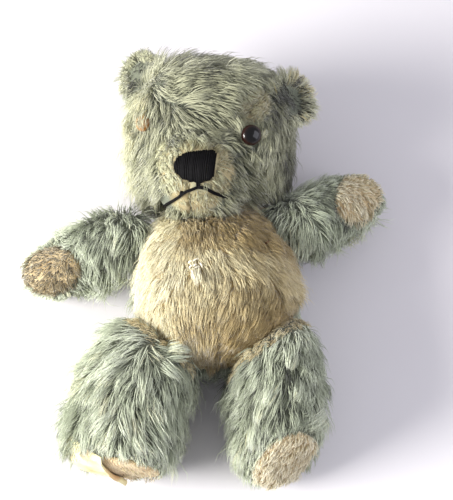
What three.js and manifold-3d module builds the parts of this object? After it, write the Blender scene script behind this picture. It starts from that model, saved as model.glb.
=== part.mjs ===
// A worn mohair teddy bear lying on its back: sewn panels around packed stuffing.
// Millimetres, +Z up. The head points to +Y, the face looks up, and the bear's own left is +X.
import * as THREE from 'three';
import { mergeVertices } from 'three/addons/utils/BufferGeometryUtils.js';
import Module from 'manifold-3d';

const wasm = await Module();
wasm.setup();

// ---- Driving dimensions -------------------------------------------------------------------
const SKIN = 3;          // plush backing with the dense foot of its pile
const SEAM = 0.3;        // gap between two sewn pieces
const PACKING = SKIN + SEAM;

const HEAD = {
  at: [7, 89, 50],       // middle of the skull
  turn: [26, -10, -4],   // nod, turn and tilt in degrees
  half: [55, 58, 50],
  square: 2.8,           // 2 is an ellipsoid, more is squarer
  taper: 0.02,           // the brow is a little wider than the jaw
};
const MUZZLE = { at: [0, -24, 36], half: [34, 31, 34], square: 2.2 };
// Half widths of the strip over the head, each with its height from the middle of the skull.
const GUSSET = {
  nose: [9, -16],
  bridge: [14, 2],
  brow: [31, 22],
  ears: [40, 34],
  crown: 36,
  nape: 12,
};
const NOSE = { at: [1, -17], top: 14.5, bottom: 8.5, height: 21, thick: 2, corner: 3, shoulder: 5 };
const MOUTH = { x: 2, fork: -29.5, left: [26, -40], right: [-22, -46], wide: 2, thick: 1.5 };
const EYE = { radius: 6.6, dome: 4.6, rim: 1.1, foot: 5.6, stand: 1.2, shank: 1, shankLength: 9 };
const EYE_LEFT = [34, 6, 43];
const EYE_RIGHT = [-36, 9, 38];

const EAR_HALF = [18, 20, 4.5];
const EAR_LEFT = { at: [56, 34, 8], turn: [-22, 48, -52] };
const EAR_RIGHT = { at: [-56, 45, -2], turn: [-12, -28, 52] };

const BODY = {
  at: [10.5, -19, 41],
  turn: [-7, 0, 3.5],
  half: [54, 60, 43],
  square: 2.6,
  taper: -0.04,
  thin: -0.18,           // the belly is deeper than the chest
};
const BODY_SEAM_Z = 36;  // side seam height between the cream front and the green back

const ARM_LEFT = {
  path: [[46, 16, 48], [76, 31, 41], [103, 48, 31], [126, 66, 24]],
  wide: [23, 22, 23, 22],
  deep: [17, 19, 20, 18],
  seam: [0.15, -0.25, 0.95],
  pad: { at: [112, 55, 31], normal: [0.05, -0.28, 0.95], half: [17, 24], turn: -30 },
};
const ARM_RIGHT = {
  path: [[-38, 22, 46], [-70, 11, 37], [-100, 0, 27], [-127, -2, 21]],
  wide: [24, 24, 22, 20],
  deep: [18, 19, 20, 17],
  seam: [-0.05, -0.3, 0.95],
  pad: { at: [-104, -2, 27], normal: [-0.1, -0.3, 0.94], half: [22, 17], turn: 8 },
};
const LEG_LEFT = {
  path: [[45, -38, 42], [50, -70, 35], [51, -104, 34], [57, -166, 34]],
  wide: [26, 30, 30, 28],
  deep: [34, 37, 36, 34],
  sole: { at: [63, -144, 32], normal: [0.4, -0.87, 0.28] },
};
const LEG_RIGHT = {
  path: [[-16, -52, 42], [-36, -78, 35], [-49, -108, 34], [-57, -170, 33]],
  wide: [30, 36, 38, 36],
  deep: [34, 37, 36, 33],
  sole: { at: [-55, -149, 32], normal: [-0.14, -0.98, -0.06] },
};
const PATCH = { at: [-69, 33], half: [19, 25], thick: 1.2 };
const REACH = 100;       // longer than any cut has to go through the head

// ---- Materials ----------------------------------------------------------------------------
const SAGE = { color: 0x9aa792, roughness: 0.95, metalness: 0 };
const CREAM = { color: 0xd8c894, roughness: 0.95, metalness: 0 };
const PAD = { color: 0xd9c9a2, roughness: 0.9, metalness: 0 };
const PATCH_CLOTH = { color: 0xeee4bb, roughness: 0.85, metalness: 0 };
const THREAD = { color: 0x1b1a1c, roughness: 0.7, metalness: 0 };
const GLASS = { color: 0x3a2415, roughness: 0.08, metalness: 0 };
const KAPOK = { color: 0xcdbf9b, roughness: 1, metalness: 0 };

// ---- Joining and cutting ------------------------------------------------------------------
function solidOf(geometry) {
  geometry.deleteAttribute('normal');
  geometry.deleteAttribute('uv');
  const merged = mergeVertices(geometry, 1e-4);
  return new wasm.Manifold(new wasm.Mesh({
    numProp: 3,
    vertProperties: new Float32Array(merged.attributes.position.array),
    triVerts: new Uint32Array(merged.index.array),
  }));
}

function geometryOf(solid) {
  const mesh = solid.getMesh();
  const geometry = new THREE.BufferGeometry();
  geometry.setAttribute('position', new THREE.BufferAttribute(new Float32Array(mesh.vertProperties), 3));
  geometry.setIndex(new THREE.BufferAttribute(new Uint32Array(mesh.triVerts), 1));
  geometry.computeVertexNormals();
  return geometry;
}

function frameOf(at, turn) {
  const angles = turn.map((degrees) => THREE.MathUtils.degToRad(degrees));
  const frame = new THREE.Matrix4().makeRotationFromEuler(new THREE.Euler(...angles, 'XYZ'));
  return frame.setPosition(...at);
}

// A frame at a point whose +Z runs along a normal and whose +X stays level.
function frameAlong(at, normal) {
  const up = new THREE.Vector3(...normal).normalize();
  const side = new THREE.Vector3(-up.y, up.x, 0);
  if (side.lengthSq() < 1e-6 || Math.abs(up.z) > 0.8) side.set(1, 0, 0);
  side.addScaledVector(up, -side.dot(up)).normalize();
  const ahead = new THREE.Vector3().crossVectors(up, side);
  return new THREE.Matrix4().makeBasis(side, ahead, up).setPosition(...at);
}

// Everything on the far side of a plane, as a large block standing on it.
function beyond(at, normal) {
  const block = new THREE.BoxGeometry(500, 500, 500);
  block.translate(0, 0, 250);
  return solidOf(block.applyMatrix4(frameAlong(at, normal)));
}

function aboveFloor(height) {
  return beyond([0, 0, height], [0, 0, 1]);
}

// ---- Stuffed shapes -----------------------------------------------------------------------
// A squared ball whose poles lie on its own Y axis; taper widens it towards +Y.
function ball(shape, grow, around = 16, down = 12) {
  const geometry = new THREE.SphereGeometry(1, around, down);
  const place = geometry.attributes.position;
  const point = new THREE.Vector3();
  const power = shape.square;
  for (let i = 0; i < place.count; i += 1) {
    point.fromBufferAttribute(place, i);
    const sum = Math.abs(point.x) ** power + Math.abs(point.y) ** power + Math.abs(point.z) ** power;
    point.multiplyScalar(sum ** (-1 / power));
    const widen = 1 + (shape.taper ?? 0) * point.y;
    const deepen = 1 + (shape.thin ?? 0) * point.y;
    place.setXYZ(
      i,
      point.x * (shape.half[0] * widen + grow),
      point.y * (shape.half[1] + grow),
      point.z * (shape.half[2] * deepen + grow),
    );
  }
  return geometry;
}

// A limb: rings across a smooth path, closed by a blunt round end at each end.
function limb(shape, grow, around = 14, down = 10) {
  const bluntness = 0.62;
  const path = new THREE.CatmullRomCurve3(shape.path.map((point) => new THREE.Vector3(...point)));
  const girth = new THREE.CatmullRomCurve3(
    shape.wide.map((wide, i) => new THREE.Vector3(wide, shape.deep[i], 0)),
  );
  const geometry = new THREE.SphereGeometry(1, around, down);
  const place = geometry.attributes.position;
  const ring = new THREE.Vector3();
  for (let i = 0; i < place.count; i += 1) {
    ring.fromBufferAttribute(place, i);
    const span = Math.sign(ring.y) * Math.abs(ring.y) ** bluntness;
    const swell = Math.hypot(ring.x, ring.z);
    const share = (1 - span) / 2;
    const tangent = path.getTangent(share);
    const side = new THREE.Vector3(-tangent.y, tangent.x, 0).normalize();
    const lift = new THREE.Vector3().crossVectors(tangent, side).normalize();
    const size = girth.getPoint(share);
    const blunt = swell > 1e-9 ? swell ** (bluntness - 1) : 0;
    const point = path.getPoint(share);
    point.addScaledVector(tangent, -span * grow);
    point.addScaledVector(side, ring.x * blunt * (size.x + grow));
    point.addScaledVector(lift, ring.z * blunt * (size.y + grow));
    place.setXYZ(i, point.x, point.y, point.z);
  }
  return solidOf(geometry);
}

const headFrame = frameOf(HEAD.at, HEAD.turn);
const bodyFrame = frameOf(BODY.at, BODY.turn);

function headForm(grow) {
  const skull = ball(HEAD, grow);
  const muzzle = ball(MUZZLE, grow);
  muzzle.translate(...MUZZLE.at);
  return solidOf(skull.applyMatrix4(headFrame)).add(solidOf(muzzle.applyMatrix4(headFrame)));
}

function bodyForm(grow) {
  return solidOf(ball(BODY, grow).applyMatrix4(bodyFrame));
}

// ---- The parts, made one stuffed region at a time -----------------------------------------
const bear = new THREE.Group();

// Cutting can leave loose slivers beside a panel: only the panel itself is kept.
function largestBody(solid) {
  const bodies = solid.decompose();
  return bodies.reduce((best, body) => (body.volume() > best.volume() ? body : best));
}

function addPiece(name, solid, finish) {
  const geometry = geometryOf(largestBody(solid));
  const mesh = new THREE.Mesh(geometry, new THREE.MeshStandardMaterial(finish));
  mesh.name = name;
  bear.add(mesh);
}

// The skin and the packing of one region, both flattened where they lie on the floor.
function stuffedRegion(form, cutters) {
  const skinOuter = form(0).intersect(aboveFloor(0));
  const skinInner = form(-SKIN).intersect(aboveFloor(SKIN));
  const packing = form(-PACKING).intersect(aboveFloor(PACKING));
  const trim = (solid) => cutters.reduce((left, cutter) => left.subtract(cutter), solid);
  return { skin: trim(skinOuter.subtract(skinInner)), packing: trim(packing) };
}

// A prism of an outline given in a frame's own X and Y, from one depth to another.
function prism(outline, from, to, frame) {
  const geometry = new THREE.ExtrudeGeometry(outline, { depth: to - from, bevelEnabled: false, steps: 1 });
  geometry.translate(0, 0, from);
  return solidOf(geometry.applyMatrix4(frame));
}

function outlineOf(points) {
  return new THREE.Shape(points.map((point) => new THREE.Vector2(...point)));
}

function ovalOutline(halfX, halfY, sides = 16) {
  const curve = new THREE.EllipseCurve(0, 0, halfX, halfY);
  return new THREE.Shape(curve.getPoints(sides).slice(0, sides));
}

// The strip that runs from the nose over the brow and crown to the nape.
function gussetCutter(grow) {
  const top = HEAD.half[1] + MUZZLE.half[1];
  const edge = [GUSSET.nose, GUSSET.bridge, GUSSET.brow, GUSSET.ears, [GUSSET.crown, top]];
  const left = edge.map(([half, y]) => [half + grow, y]);
  left[0][1] -= grow;
  const right = left.map(([half, y]) => [-half, y]).reverse();
  const front = outlineOf([...left, ...right]);
  const back = outlineOf([
    [-GUSSET.nape - grow, -top],
    [GUSSET.nape + grow, -top],
    [GUSSET.crown + grow, top],
    [-GUSSET.crown - grow, top],
  ]);
  return prism(front, 0, REACH, headFrame).add(prism(back, -REACH, 1, headFrame));
}

function buildHead(eyeCutters) {
  const { skin, packing } = stuffedRegion(headForm, []);
  const skinHoled = eyeCutters.reduce((left, cutter) => left.subtract(cutter), skin);
  const packingHoled = eyeCutters.reduce((left, cutter) => left.subtract(cutter), packing);
  const middle = new THREE.Vector3().setFromMatrixColumn(headFrame, 0);
  const gap = middle.clone().multiplyScalar(SEAM / 2);
  const centre = new THREE.Vector3(...HEAD.at);
  const sides = skinHoled.subtract(gussetCutter(SEAM));
  addPiece('head_gusset', skinHoled.intersect(gussetCutter(0)), SAGE);
  addPiece('head_side_left', sides.intersect(beyond(centre.clone().add(gap), middle)), SAGE);
  const away = middle.clone().negate();
  addPiece('head_side_right', sides.intersect(beyond(centre.clone().sub(gap), away)), SAGE);
  addPiece('stuffing_head', packingHoled, KAPOK);
}

// A point of the skull's surface along a direction from its middle, and the normal there.
function skullSurface(direction) {
  const power = HEAD.square;
  const widen = 1 + HEAD.taper * (direction[1] / HEAD.half[1]);
  const half = [HEAD.half[0] * widen, HEAD.half[1], HEAD.half[2]];
  const sum = direction.reduce((total, value, i) => total + Math.abs(value / half[i]) ** power, 0);
  const point = direction.map((value) => value * sum ** (-1 / power));
  const normal = point.map((value, i) => Math.sign(value) * Math.abs(value / half[i]) ** (power - 1) / half[i]);
  const at = new THREE.Vector3(...point).applyMatrix4(headFrame);
  const along = new THREE.Vector3(...normal).transformDirection(headFrame);
  return { at, along };
}

function buildEye(name, direction) {
  const { at, along } = skullSurface(direction);
  const profile = [new THREE.Vector2(0, -EYE.shankLength), new THREE.Vector2(EYE.shank, -EYE.shankLength)];
  profile.push(new THREE.Vector2(EYE.shank, EYE.stand), new THREE.Vector2(EYE.foot, EYE.stand));
  const rings = 4;
  for (let i = 0; i <= rings; i += 1) {
    const angle = (i / rings) * (Math.PI / 2);
    const across = i === rings ? 0 : EYE.radius * Math.cos(angle);
    profile.push(new THREE.Vector2(across, EYE.stand + EYE.rim + EYE.dome * Math.sin(angle)));
  }
  const lathe = new THREE.LatheGeometry(profile, 12).rotateX(Math.PI / 2);
  addPiece(name, solidOf(lathe.applyMatrix4(frameAlong(at.toArray(), along.toArray()))), GLASS);
}

function shankHole(direction) {
  const { at, along } = skullSurface(direction);
  const hole = new THREE.CylinderGeometry(EYE.shank + SEAM, EYE.shank + SEAM, EYE.shankLength * 2 + 2, 8);
  return solidOf(hole.rotateX(Math.PI / 2).applyMatrix4(frameAlong(at.toArray(), along.toArray())));
}

// Threads that lie on the muzzle: the layer just outside it, cut to an outline.
function onMuzzle(outline, thick) {
  const layer = headForm(SEAM + thick).subtract(headForm(SEAM));
  return layer.intersect(prism(outline, HEAD.half[2] / 2, REACH, headFrame));
}

function buildFaceStitching() {
  const { at: [x, y], top: wideTop, bottom: wideFoot, corner, shoulder } = NOSE;
  const half = NOSE.height / 2;
  const waist = y - half + corner / 2;
  const nose = new THREE.Shape();
  nose.moveTo(x - wideTop + corner, y + half);
  nose.lineTo(x + wideTop - corner, y + half);
  nose.quadraticCurveTo(x + wideTop, y + half, x + wideTop, y + half - shoulder);
  nose.quadraticCurveTo(x + wideTop - 1, waist, x + wideFoot - corner, y - half);
  nose.lineTo(x - wideFoot + corner, y - half);
  nose.quadraticCurveTo(x - wideTop + 1, waist, x - wideTop, y + half - shoulder);
  nose.quadraticCurveTo(x - wideTop, y + half, x - wideTop + corner, y + half);
  addPiece('nose_stitching', onMuzzle(new THREE.Shape(nose.getPoints(4)), NOSE.thick), THREAD);

  const wide = MOUTH.wide / 2;
  const top = y - half - SEAM;
  const mouth = outlineOf([
    [MOUTH.x - wide, top],
    [MOUTH.x - wide, MOUTH.fork + 1],
    [MOUTH.right[0], MOUTH.right[1] + wide],
    [MOUTH.right[0], MOUTH.right[1] - wide],
    [MOUTH.x, MOUTH.fork - wide],
    [MOUTH.left[0], MOUTH.left[1] - wide],
    [MOUTH.left[0], MOUTH.left[1] + wide],
    [MOUTH.x + wide, MOUTH.fork + 1],
    [MOUTH.x + wide, top],
  ]);
  addPiece('mouth_stitching', onMuzzle(mouth, MOUTH.thick), THREAD);
}

function buildEar(side, place, headCutter) {
  const frame = new THREE.Matrix4().multiplyMatrices(headFrame, frameOf(place.at, place.turn));
  const ear = ball({ half: EAR_HALF, square: 2.3 }, 0, 14, 8);
  const solid = solidOf(ear.applyMatrix4(frame)).subtract(headCutter);
  const middle = new THREE.Vector3().setFromMatrixColumn(frame, 2);
  const centre = new THREE.Vector3().setFromMatrixPosition(frame);
  const gap = middle.clone().multiplyScalar(SEAM / 2);
  const front = solid.intersect(beyond(centre.clone().add(gap), middle));
  const back = solid.intersect(beyond(centre.clone().sub(gap), middle.clone().negate()));
  addPiece(`ear_${side}_front`, front, SAGE);
  addPiece(`ear_${side}_back`, back, SAGE);
}

function buildBody(headCutter) {
  const { skin, packing } = stuffedRegion(bodyForm, [headCutter]);
  const front = skin.intersect(aboveFloor(BODY_SEAM_Z + SEAM));
  const back = skin.subtract(aboveFloor(BODY_SEAM_Z));
  const middle = new THREE.Vector3().setFromMatrixColumn(bodyFrame, 0);
  const gap = middle.clone().multiplyScalar(SEAM / 2);
  const centre = new THREE.Vector3(...BODY.at);
  const left = beyond(centre.clone().add(gap), middle);
  const right = beyond(centre.clone().sub(gap), middle.clone().negate());
  addPiece('body_front_left', front.intersect(left), CREAM);
  addPiece('body_front_right', front.intersect(right), CREAM);
  addPiece('body_back_left', back.intersect(left), SAGE);
  addPiece('body_back_right', back.intersect(right), SAGE);
  addPiece('stuffing_body', packing, KAPOK);
}

// Two panels split along the arm, with the oval pad let into the palm.
function buildArm(side, shape, cutters) {
  const { skin, packing } = stuffedRegion((grow) => limb(shape, grow), cutters);
  const padTurn = new THREE.Matrix4().makeRotationZ(THREE.MathUtils.degToRad(shape.pad.turn));
  const padFrame = frameAlong(shape.pad.at, shape.pad.normal).multiply(padTurn);
  const [halfX, halfY] = shape.pad.half;
  const padCut = prism(ovalOutline(halfX, halfY), 0, 60, padFrame);
  const padHole = prism(ovalOutline(halfX + SEAM, halfY + SEAM), -SEAM, 60, padFrame);
  const middle = shape.path[1].map((value, i) => (value + shape.path[2][i]) / 2);
  const sleeve = skin.subtract(padHole);
  const normal = new THREE.Vector3(...shape.seam).normalize();
  const above = new THREE.Vector3(...middle).addScaledVector(normal, SEAM / 2);
  const below = new THREE.Vector3(...middle).addScaledVector(normal, -SEAM / 2);
  addPiece(`arm_${side}_front`, sleeve.intersect(beyond(above, normal)), SAGE);
  addPiece(`arm_${side}_back`, sleeve.intersect(beyond(below, normal.clone().negate())), SAGE);
  addPiece(`paw_pad_${side}`, skin.intersect(padCut), PAD);
  addPiece(`stuffing_arm_${side}`, packing, KAPOK);
}

// An inner and an outer panel, closed by the flat pad of the sole.
function buildLeg(side, shape, bodyCutter, inward) {
  const sole = new THREE.Vector3(...shape.sole.normal).normalize();
  const soleAt = new THREE.Vector3(...shape.sole.at);
  const cutAt = (depth) => beyond(soleAt.clone().addScaledVector(sole, -depth), sole);
  const leg = (grow) => limb(shape, grow);
  const solid = leg(0).intersect(aboveFloor(0));
  const hollow = leg(-SKIN).intersect(aboveFloor(SKIN));
  const skin = solid.subtract(hollow).subtract(cutAt(PACKING)).subtract(bodyCutter);
  const packing = leg(-PACKING).intersect(aboveFloor(PACKING)).subtract(cutAt(PACKING)).subtract(bodyCutter);
  const hip = new THREE.Vector3(...shape.path[0]);
  const toe = new THREE.Vector3(...shape.path[3]);
  const along = toe.clone().sub(hip);
  const across = new THREE.Vector3(along.y, -along.x, 0).normalize().multiplyScalar(inward);
  const middle = hip.clone().add(toe).multiplyScalar(0.5);
  const innerAt = middle.clone().addScaledVector(across, SEAM / 2);
  const outerAt = middle.clone().addScaledVector(across, -SEAM / 2);
  addPiece(`leg_${side}_inner`, skin.intersect(beyond(innerAt, across)), SAGE);
  addPiece(`leg_${side}_outer`, skin.intersect(beyond(outerAt, across.clone().negate())), SAGE);
  addPiece(`foot_pad_${side}`, solid.intersect(cutAt(SKIN)).subtract(cutAt(0)), PAD);
  addPiece(`stuffing_leg_${side}`, packing, KAPOK);
}

// The cloth patch that mends the outer half of the right sole.
function buildPatch() {
  const { at, normal } = LEG_RIGHT.sole;
  const frame = frameAlong(at, normal);
  const toLocal = frame.clone().invert();
  const centre = new THREE.Vector3(PATCH.at[0], at[1], PATCH.at[1]).applyMatrix4(toLocal);
  const outline = ovalOutline(PATCH.half[0], PATCH.half[1], 16);
  const place = frame.clone().multiply(new THREE.Matrix4().makeTranslation(centre.x, centre.y, 0));
  const sheet = prism(outline, SEAM, SEAM + PATCH.thick, place);
  addPiece('foot_patch_right', sheet.intersect(aboveFloor(SEAM)), PATCH_CLOTH);
}

const bodyCutter = bodyForm(SEAM);
const headCutter = headForm(SEAM);

buildHead([shankHole(EYE_LEFT), shankHole(EYE_RIGHT)]);
buildEar('left', EAR_LEFT, headCutter);
buildEar('right', EAR_RIGHT, headCutter);
buildEye('eye_left', EYE_LEFT);
buildEye('eye_right', EYE_RIGHT);
buildFaceStitching();
buildBody(headCutter);
buildArm('left', ARM_LEFT, [bodyCutter, headCutter]);
buildArm('right', ARM_RIGHT, [bodyCutter, headCutter]);
buildLeg('left', LEG_LEFT, bodyCutter, 1);
buildLeg('right', LEG_RIGHT, bodyCutter, -1);
buildPatch();

// The origin is under the middle of the bear, on the surface it lies on.
const extent = new THREE.Box3().setFromObject(bear);
const middle = extent.getCenter(new THREE.Vector3());
bear.position.set(-middle.x, -middle.y, -extent.min.z);

export default bear;
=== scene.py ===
"""A worn mohair teddy bear that lies on its back: sewn plush panels round packed stuffing,
with matted pile, stitched nose and mouth, glass eyes, worn pads and one cloth patch.
Metres, +Z up. The head points to +Y and the bear's own left is +X."""

import math

import bmesh
import bpy
import numpy as np
from mathutils import Euler, Matrix, Vector, noise
from mathutils.bvhtree import BVHTree
from mathutils.kdtree import KDTree


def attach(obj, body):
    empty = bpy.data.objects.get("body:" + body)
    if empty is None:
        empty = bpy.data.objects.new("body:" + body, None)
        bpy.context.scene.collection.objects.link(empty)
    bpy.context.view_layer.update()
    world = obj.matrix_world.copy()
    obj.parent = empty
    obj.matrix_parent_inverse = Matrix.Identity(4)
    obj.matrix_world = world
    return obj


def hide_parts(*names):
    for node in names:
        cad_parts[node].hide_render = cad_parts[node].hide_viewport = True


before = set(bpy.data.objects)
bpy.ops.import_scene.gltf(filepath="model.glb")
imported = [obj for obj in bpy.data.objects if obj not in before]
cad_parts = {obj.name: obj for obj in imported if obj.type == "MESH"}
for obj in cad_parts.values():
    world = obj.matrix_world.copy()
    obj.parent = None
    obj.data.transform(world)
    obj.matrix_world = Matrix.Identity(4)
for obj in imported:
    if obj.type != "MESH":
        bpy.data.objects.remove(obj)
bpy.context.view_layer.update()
MM = 0.001
draw = np.random.default_rng(7)

# ---- Camera -------------------------------------------------------------------------------
VIEW_AT = Vector((0.0158, 0.0272, 0.0))
VIEW_DISTANCE = 1.1
VIEW_HEIGHT = math.radians(66)
LENS = 107.8

lens = bpy.data.cameras.new("camera")
lens.lens = LENS
lens.sensor_width = 36.0
camera = bpy.data.objects.new("camera", lens)
back = Vector((0.0, -math.cos(VIEW_HEIGHT), math.sin(VIEW_HEIGHT)))
camera.location = VIEW_AT + back * VIEW_DISTANCE
camera.rotation_euler = Euler((math.radians(90) - VIEW_HEIGHT, 0.0, 0.0))
bpy.context.scene.collection.objects.link(camera)
bpy.context.scene.camera = camera
bpy.context.scene.view_settings.view_transform = "Standard"


# ---- Materials ----------------------------------------------------------------------------
def linear(code):
    """The linear colour of an sRGB hex value."""
    parts = [int(code[i:i + 2], 16) / 255 for i in (1, 3, 5)]
    return [c / 12.92 if c <= 0.04045 else ((c + 0.055) / 1.055) ** 2.4 for c in parts] + [1.0]


def add(tree, kind, inputs=None, stops=None, **settings):
    """Adds a node; an input is linked where its value is a socket, and set where it isn't."""
    made = tree.nodes.new(f"ShaderNode{kind}")
    for name, value in settings.items():
        setattr(made, name, value)
    for name, value in (inputs or {}).items():
        if isinstance(value, bpy.types.NodeSocket):
            tree.links.new(value, made.inputs[name])
        else:
            made.inputs[name].default_value = value
    if stops:
        band = made.color_ramp
        while len(band.elements) < len(stops):
            band.elements.new(1.0)
        for element, (place, code) in zip(band.elements, stops):
            element.position = place
            element.color = linear(code)
    return made


def finish_of(name, shader_inputs, build):
    """A material whose colour and bump come from build(tree), as a dict of shader inputs."""
    material = bpy.data.materials.new(name)
    material.use_nodes = True
    tree = material.node_tree
    tree.nodes.clear()
    found = dict(shader_inputs)
    found.update(build(tree))
    shader = add(tree, "BsdfPrincipled", found)
    out = add(tree, "OutputMaterial")
    tree.links.new(shader.outputs["BSDF"], out.inputs["Surface"])
    return material


def pile_material(name, roots, tips):
    """Mohair pile: each hair runs from a dense shaded foot to a bleached tip."""
    def build(tree):
        place = add(tree, "UVMap", uv_map="OFBake")
        across = add(tree, "SeparateXYZ", {"Vector": place.outputs["UV"]})
        root = add(tree, "ValToRGB", {"Fac": across.outputs["X"]}, stops=roots)
        tip = add(tree, "ValToRGB", {"Fac": across.outputs["X"]}, stops=tips)
        rise = add(tree, "MapRange", {"Value": across.outputs["Y"], "From Min": 0.05, "From Max": 0.85},
                   interpolation_type="SMOOTHSTEP")
        mix = add(tree, "Mix", {0: rise.outputs["Result"], 6: root.outputs["Color"],
                                7: tip.outputs["Color"]}, data_type="RGBA")
        return {"Base Color": mix.outputs[2]}
    return finish_of(name, {"Roughness": 0.62, "Sheen Weight": 0.5, "Sheen Roughness": 0.5,
                            "Specular IOR Level": 0.35}, build)


# How many mottles each kind of unevenness has to the metre.
WAVER = 90.0             # threads that wander every 11 mm
SOIL = 120.0             # dirt in patches about 8 mm across
SOAKED = 70.0            # stains about 14 mm across


def weave(tree, vector, spacing, distort):
    """The height of a plain weave, from 0 to 1. Spacing is for two threads, over and under, in metres."""
    turn = 2 * math.pi / spacing
    warp = add(tree, "TexNoise", {"Vector": vector, "Scale": WAVER, "Detail": 2.0})
    shift = add(tree, "VectorMath", {0: warp.outputs["Color"], 1: (distort, distort, 0.0)},
                operation="MULTIPLY")
    moved = add(tree, "VectorMath", {0: vector, 1: shift.outputs["Vector"]}, operation="ADD")
    parts = add(tree, "SeparateXYZ", {"Vector": moved.outputs["Vector"]})
    waves = []
    for axis in ("X", "Y"):
        scaled = add(tree, "Math", {0: parts.outputs[axis], 1: turn}, operation="MULTIPLY")
        waves.append(add(tree, "Math", {0: scaled.outputs["Value"]}, operation="SINE"))
    both = add(tree, "Math", {0: waves[0].outputs["Value"], 1: waves[1].outputs["Value"]},
               operation="MULTIPLY")
    return add(tree, "MapRange", {"Value": both.outputs["Value"], "From Min": -1.0, "From Max": 1.0})


def ground_material(name, foot, backing, spacing, turn):
    """Plush ground: a woven cotton backing with the short dense foot of the pile, worn bare in places."""
    def build(tree):
        place = add(tree, "TexCoord")
        local = add(tree, "Mapping", {"Vector": place.outputs["Object"], "Rotation": turn})
        threads = weave(tree, local.outputs["Vector"], spacing, 0.002)
        blotch = add(tree, "TexNoise", {"Vector": place.outputs["Object"], "Scale": SOIL, "Detail": 4.0})
        dirt = add(tree, "ValToRGB", {"Fac": blotch.outputs["Fac"]}, stops=backing)
        gaps = add(tree, "ValToRGB", {"Fac": threads.outputs["Result"]},
                   stops=[(0.0, "#857862"), (0.35, "#dbd0b8"), (1.0, "#ffffff")])
        cloth = add(tree, "Mix", {0: 0.75, 6: dirt.outputs["Color"], 7: gaps.outputs["Color"]},
                    data_type="RGBA", blend_type="MULTIPLY")
        shade = add(tree, "ValToRGB", {"Fac": blotch.outputs["Fac"]}, stops=foot)
        bare = add(tree, "Attribute", attribute_name="bare")
        colour = add(tree, "Mix", {0: bare.outputs["Fac"], 6: shade.outputs["Color"], 7: cloth.outputs[2]},
                     data_type="RGBA")
        bump = add(tree, "Bump", {"Height": threads.outputs["Result"], "Strength": 0.8, "Distance": 0.0005})
        return {"Base Color": colour.outputs[2], "Normal": bump.outputs["Normal"]}
    return finish_of(name, {"Roughness": 0.9, "Sheen Weight": 0.2}, build)


def plain_cloth(name, colours, scale, rough, depth):
    """Cloth, thread or fibre: mottled colour, scale mottles to the metre, and bumps depth metres high."""
    def build(tree):
        place = add(tree, "TexCoord")
        blotch = add(tree, "TexNoise", {"Vector": place.outputs["Object"], "Scale": scale, "Detail": 5.0})
        colour = add(tree, "ValToRGB", {"Fac": blotch.outputs["Fac"]}, stops=colours)
        bump = add(tree, "Bump", {"Height": blotch.outputs["Fac"], "Strength": 0.4, "Distance": depth})
        return {"Base Color": colour.outputs["Color"], "Normal": bump.outputs["Normal"]}
    return finish_of(name, {"Roughness": rough, "Specular IOR Level": 0.12}, build)


# Each pile has a ramp for the foot of its hairs and one for their tips, from soiled to bleached; on the
# head, belly and muzzle the tone along them also carries painted light and painted shade.
# Sage mohair: green dye gone grey at the foot and bleached at the tips, which yellow last of all.
SAGE_ROOTS = [(0.0, "#2e322a"), (0.13, "#757b66"), (0.35, "#9ea58d"), (0.7, "#b9c0a7"),
              (0.84, "#cbd2b8"), (1.0, "#b3ad7c")]
SAGE_TIPS = [(0.0, "#3a3f33"), (0.13, "#8d947d"), (0.35, "#b3bba2"), (0.7, "#d0d8bf"),
             (0.84, "#e6ecd8"), (1.0, "#dccb86")]
# The head's pile has gone more olive than the limbs' pile.
# The darkest stops, near black, carry the painted shade in the ear fold and the ear hollows.
OLIVE_ROOTS = [(0.0, "#191914"), (0.13, "#6a6a53"), (0.35, "#8d8e72"), (0.7, "#abac8e"),
               (0.84, "#c0c1a4"), (1.0, "#b3a974")]
OLIVE_TIPS = [(0.0, "#2a2b20"), (0.13, "#8a8b70"), (0.35, "#adae8f"), (0.7, "#cfd0b2"),
              (0.84, "#e8e9cf"), (1.0, "#dccb86")]
# Cream mohair: golden at the low end, used for painted shade and for soiled locks, nearly white at the high
# end, used for painted light and for bleached locks.
CREAM_ROOTS = [(0.0, "#9a8353"), (0.35, "#c8b787"), (0.7, "#e6dab0"), (1.0, "#f8f0cc")]
CREAM_TIPS = [(0.0, "#ad9763"), (0.35, "#d6c698"), (0.7, "#f2eac4"), (1.0, "#fdfae2")]
# Pad plush: the same mohair worn short, tan with handling.
TAN_ROOTS = [(0.0, "#66593d"), (0.5, "#a5956c"), (1.0, "#dcd2ae")]
TAN_TIPS = [(0.0, "#877954"), (0.5, "#c8ba8f"), (1.0, "#f8f2da")]
# Muzzle: what is left of the pile, rubbed short and yellow-cream.
SHORT_ROOTS = [(0.0, "#918c69"), (0.5, "#b8b68e"), (1.0, "#d3d4ae")]
SHORT_TIPS = [(0.0, "#b5b08b"), (0.5, "#d8d8b3"), (1.0, "#f0f1d2")]

sage_pile = pile_material("sage_mohair_pile", SAGE_ROOTS, SAGE_TIPS)
head_pile = pile_material("olive_mohair_pile", OLIVE_ROOTS, OLIVE_TIPS)
cream_pile = pile_material("cream_mohair_pile", CREAM_ROOTS, CREAM_TIPS)
tan_pile = pile_material("tan_pad_pile", TAN_ROOTS, TAN_TIPS)
short_pile = pile_material("rubbed_muzzle_pile", SHORT_ROOTS, SHORT_TIPS)

# The head's own frame: chin tucked down, face turned and tilted a little.
HEAD_TURN = (Matrix.Rotation(math.radians(26), 3, "X") @ Matrix.Rotation(math.radians(-10), 3, "Y")
             @ Matrix.Rotation(math.radians(-4), 3, "Z"))
HEAD_AT = Vector((4.9, 89.2, 50.0)) * MM
HEAD_FRAME = Matrix.Translation(HEAD_AT) @ HEAD_TURN.to_4x4()
AS_HEAD = tuple(HEAD_TURN.transposed().to_euler())

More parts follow.
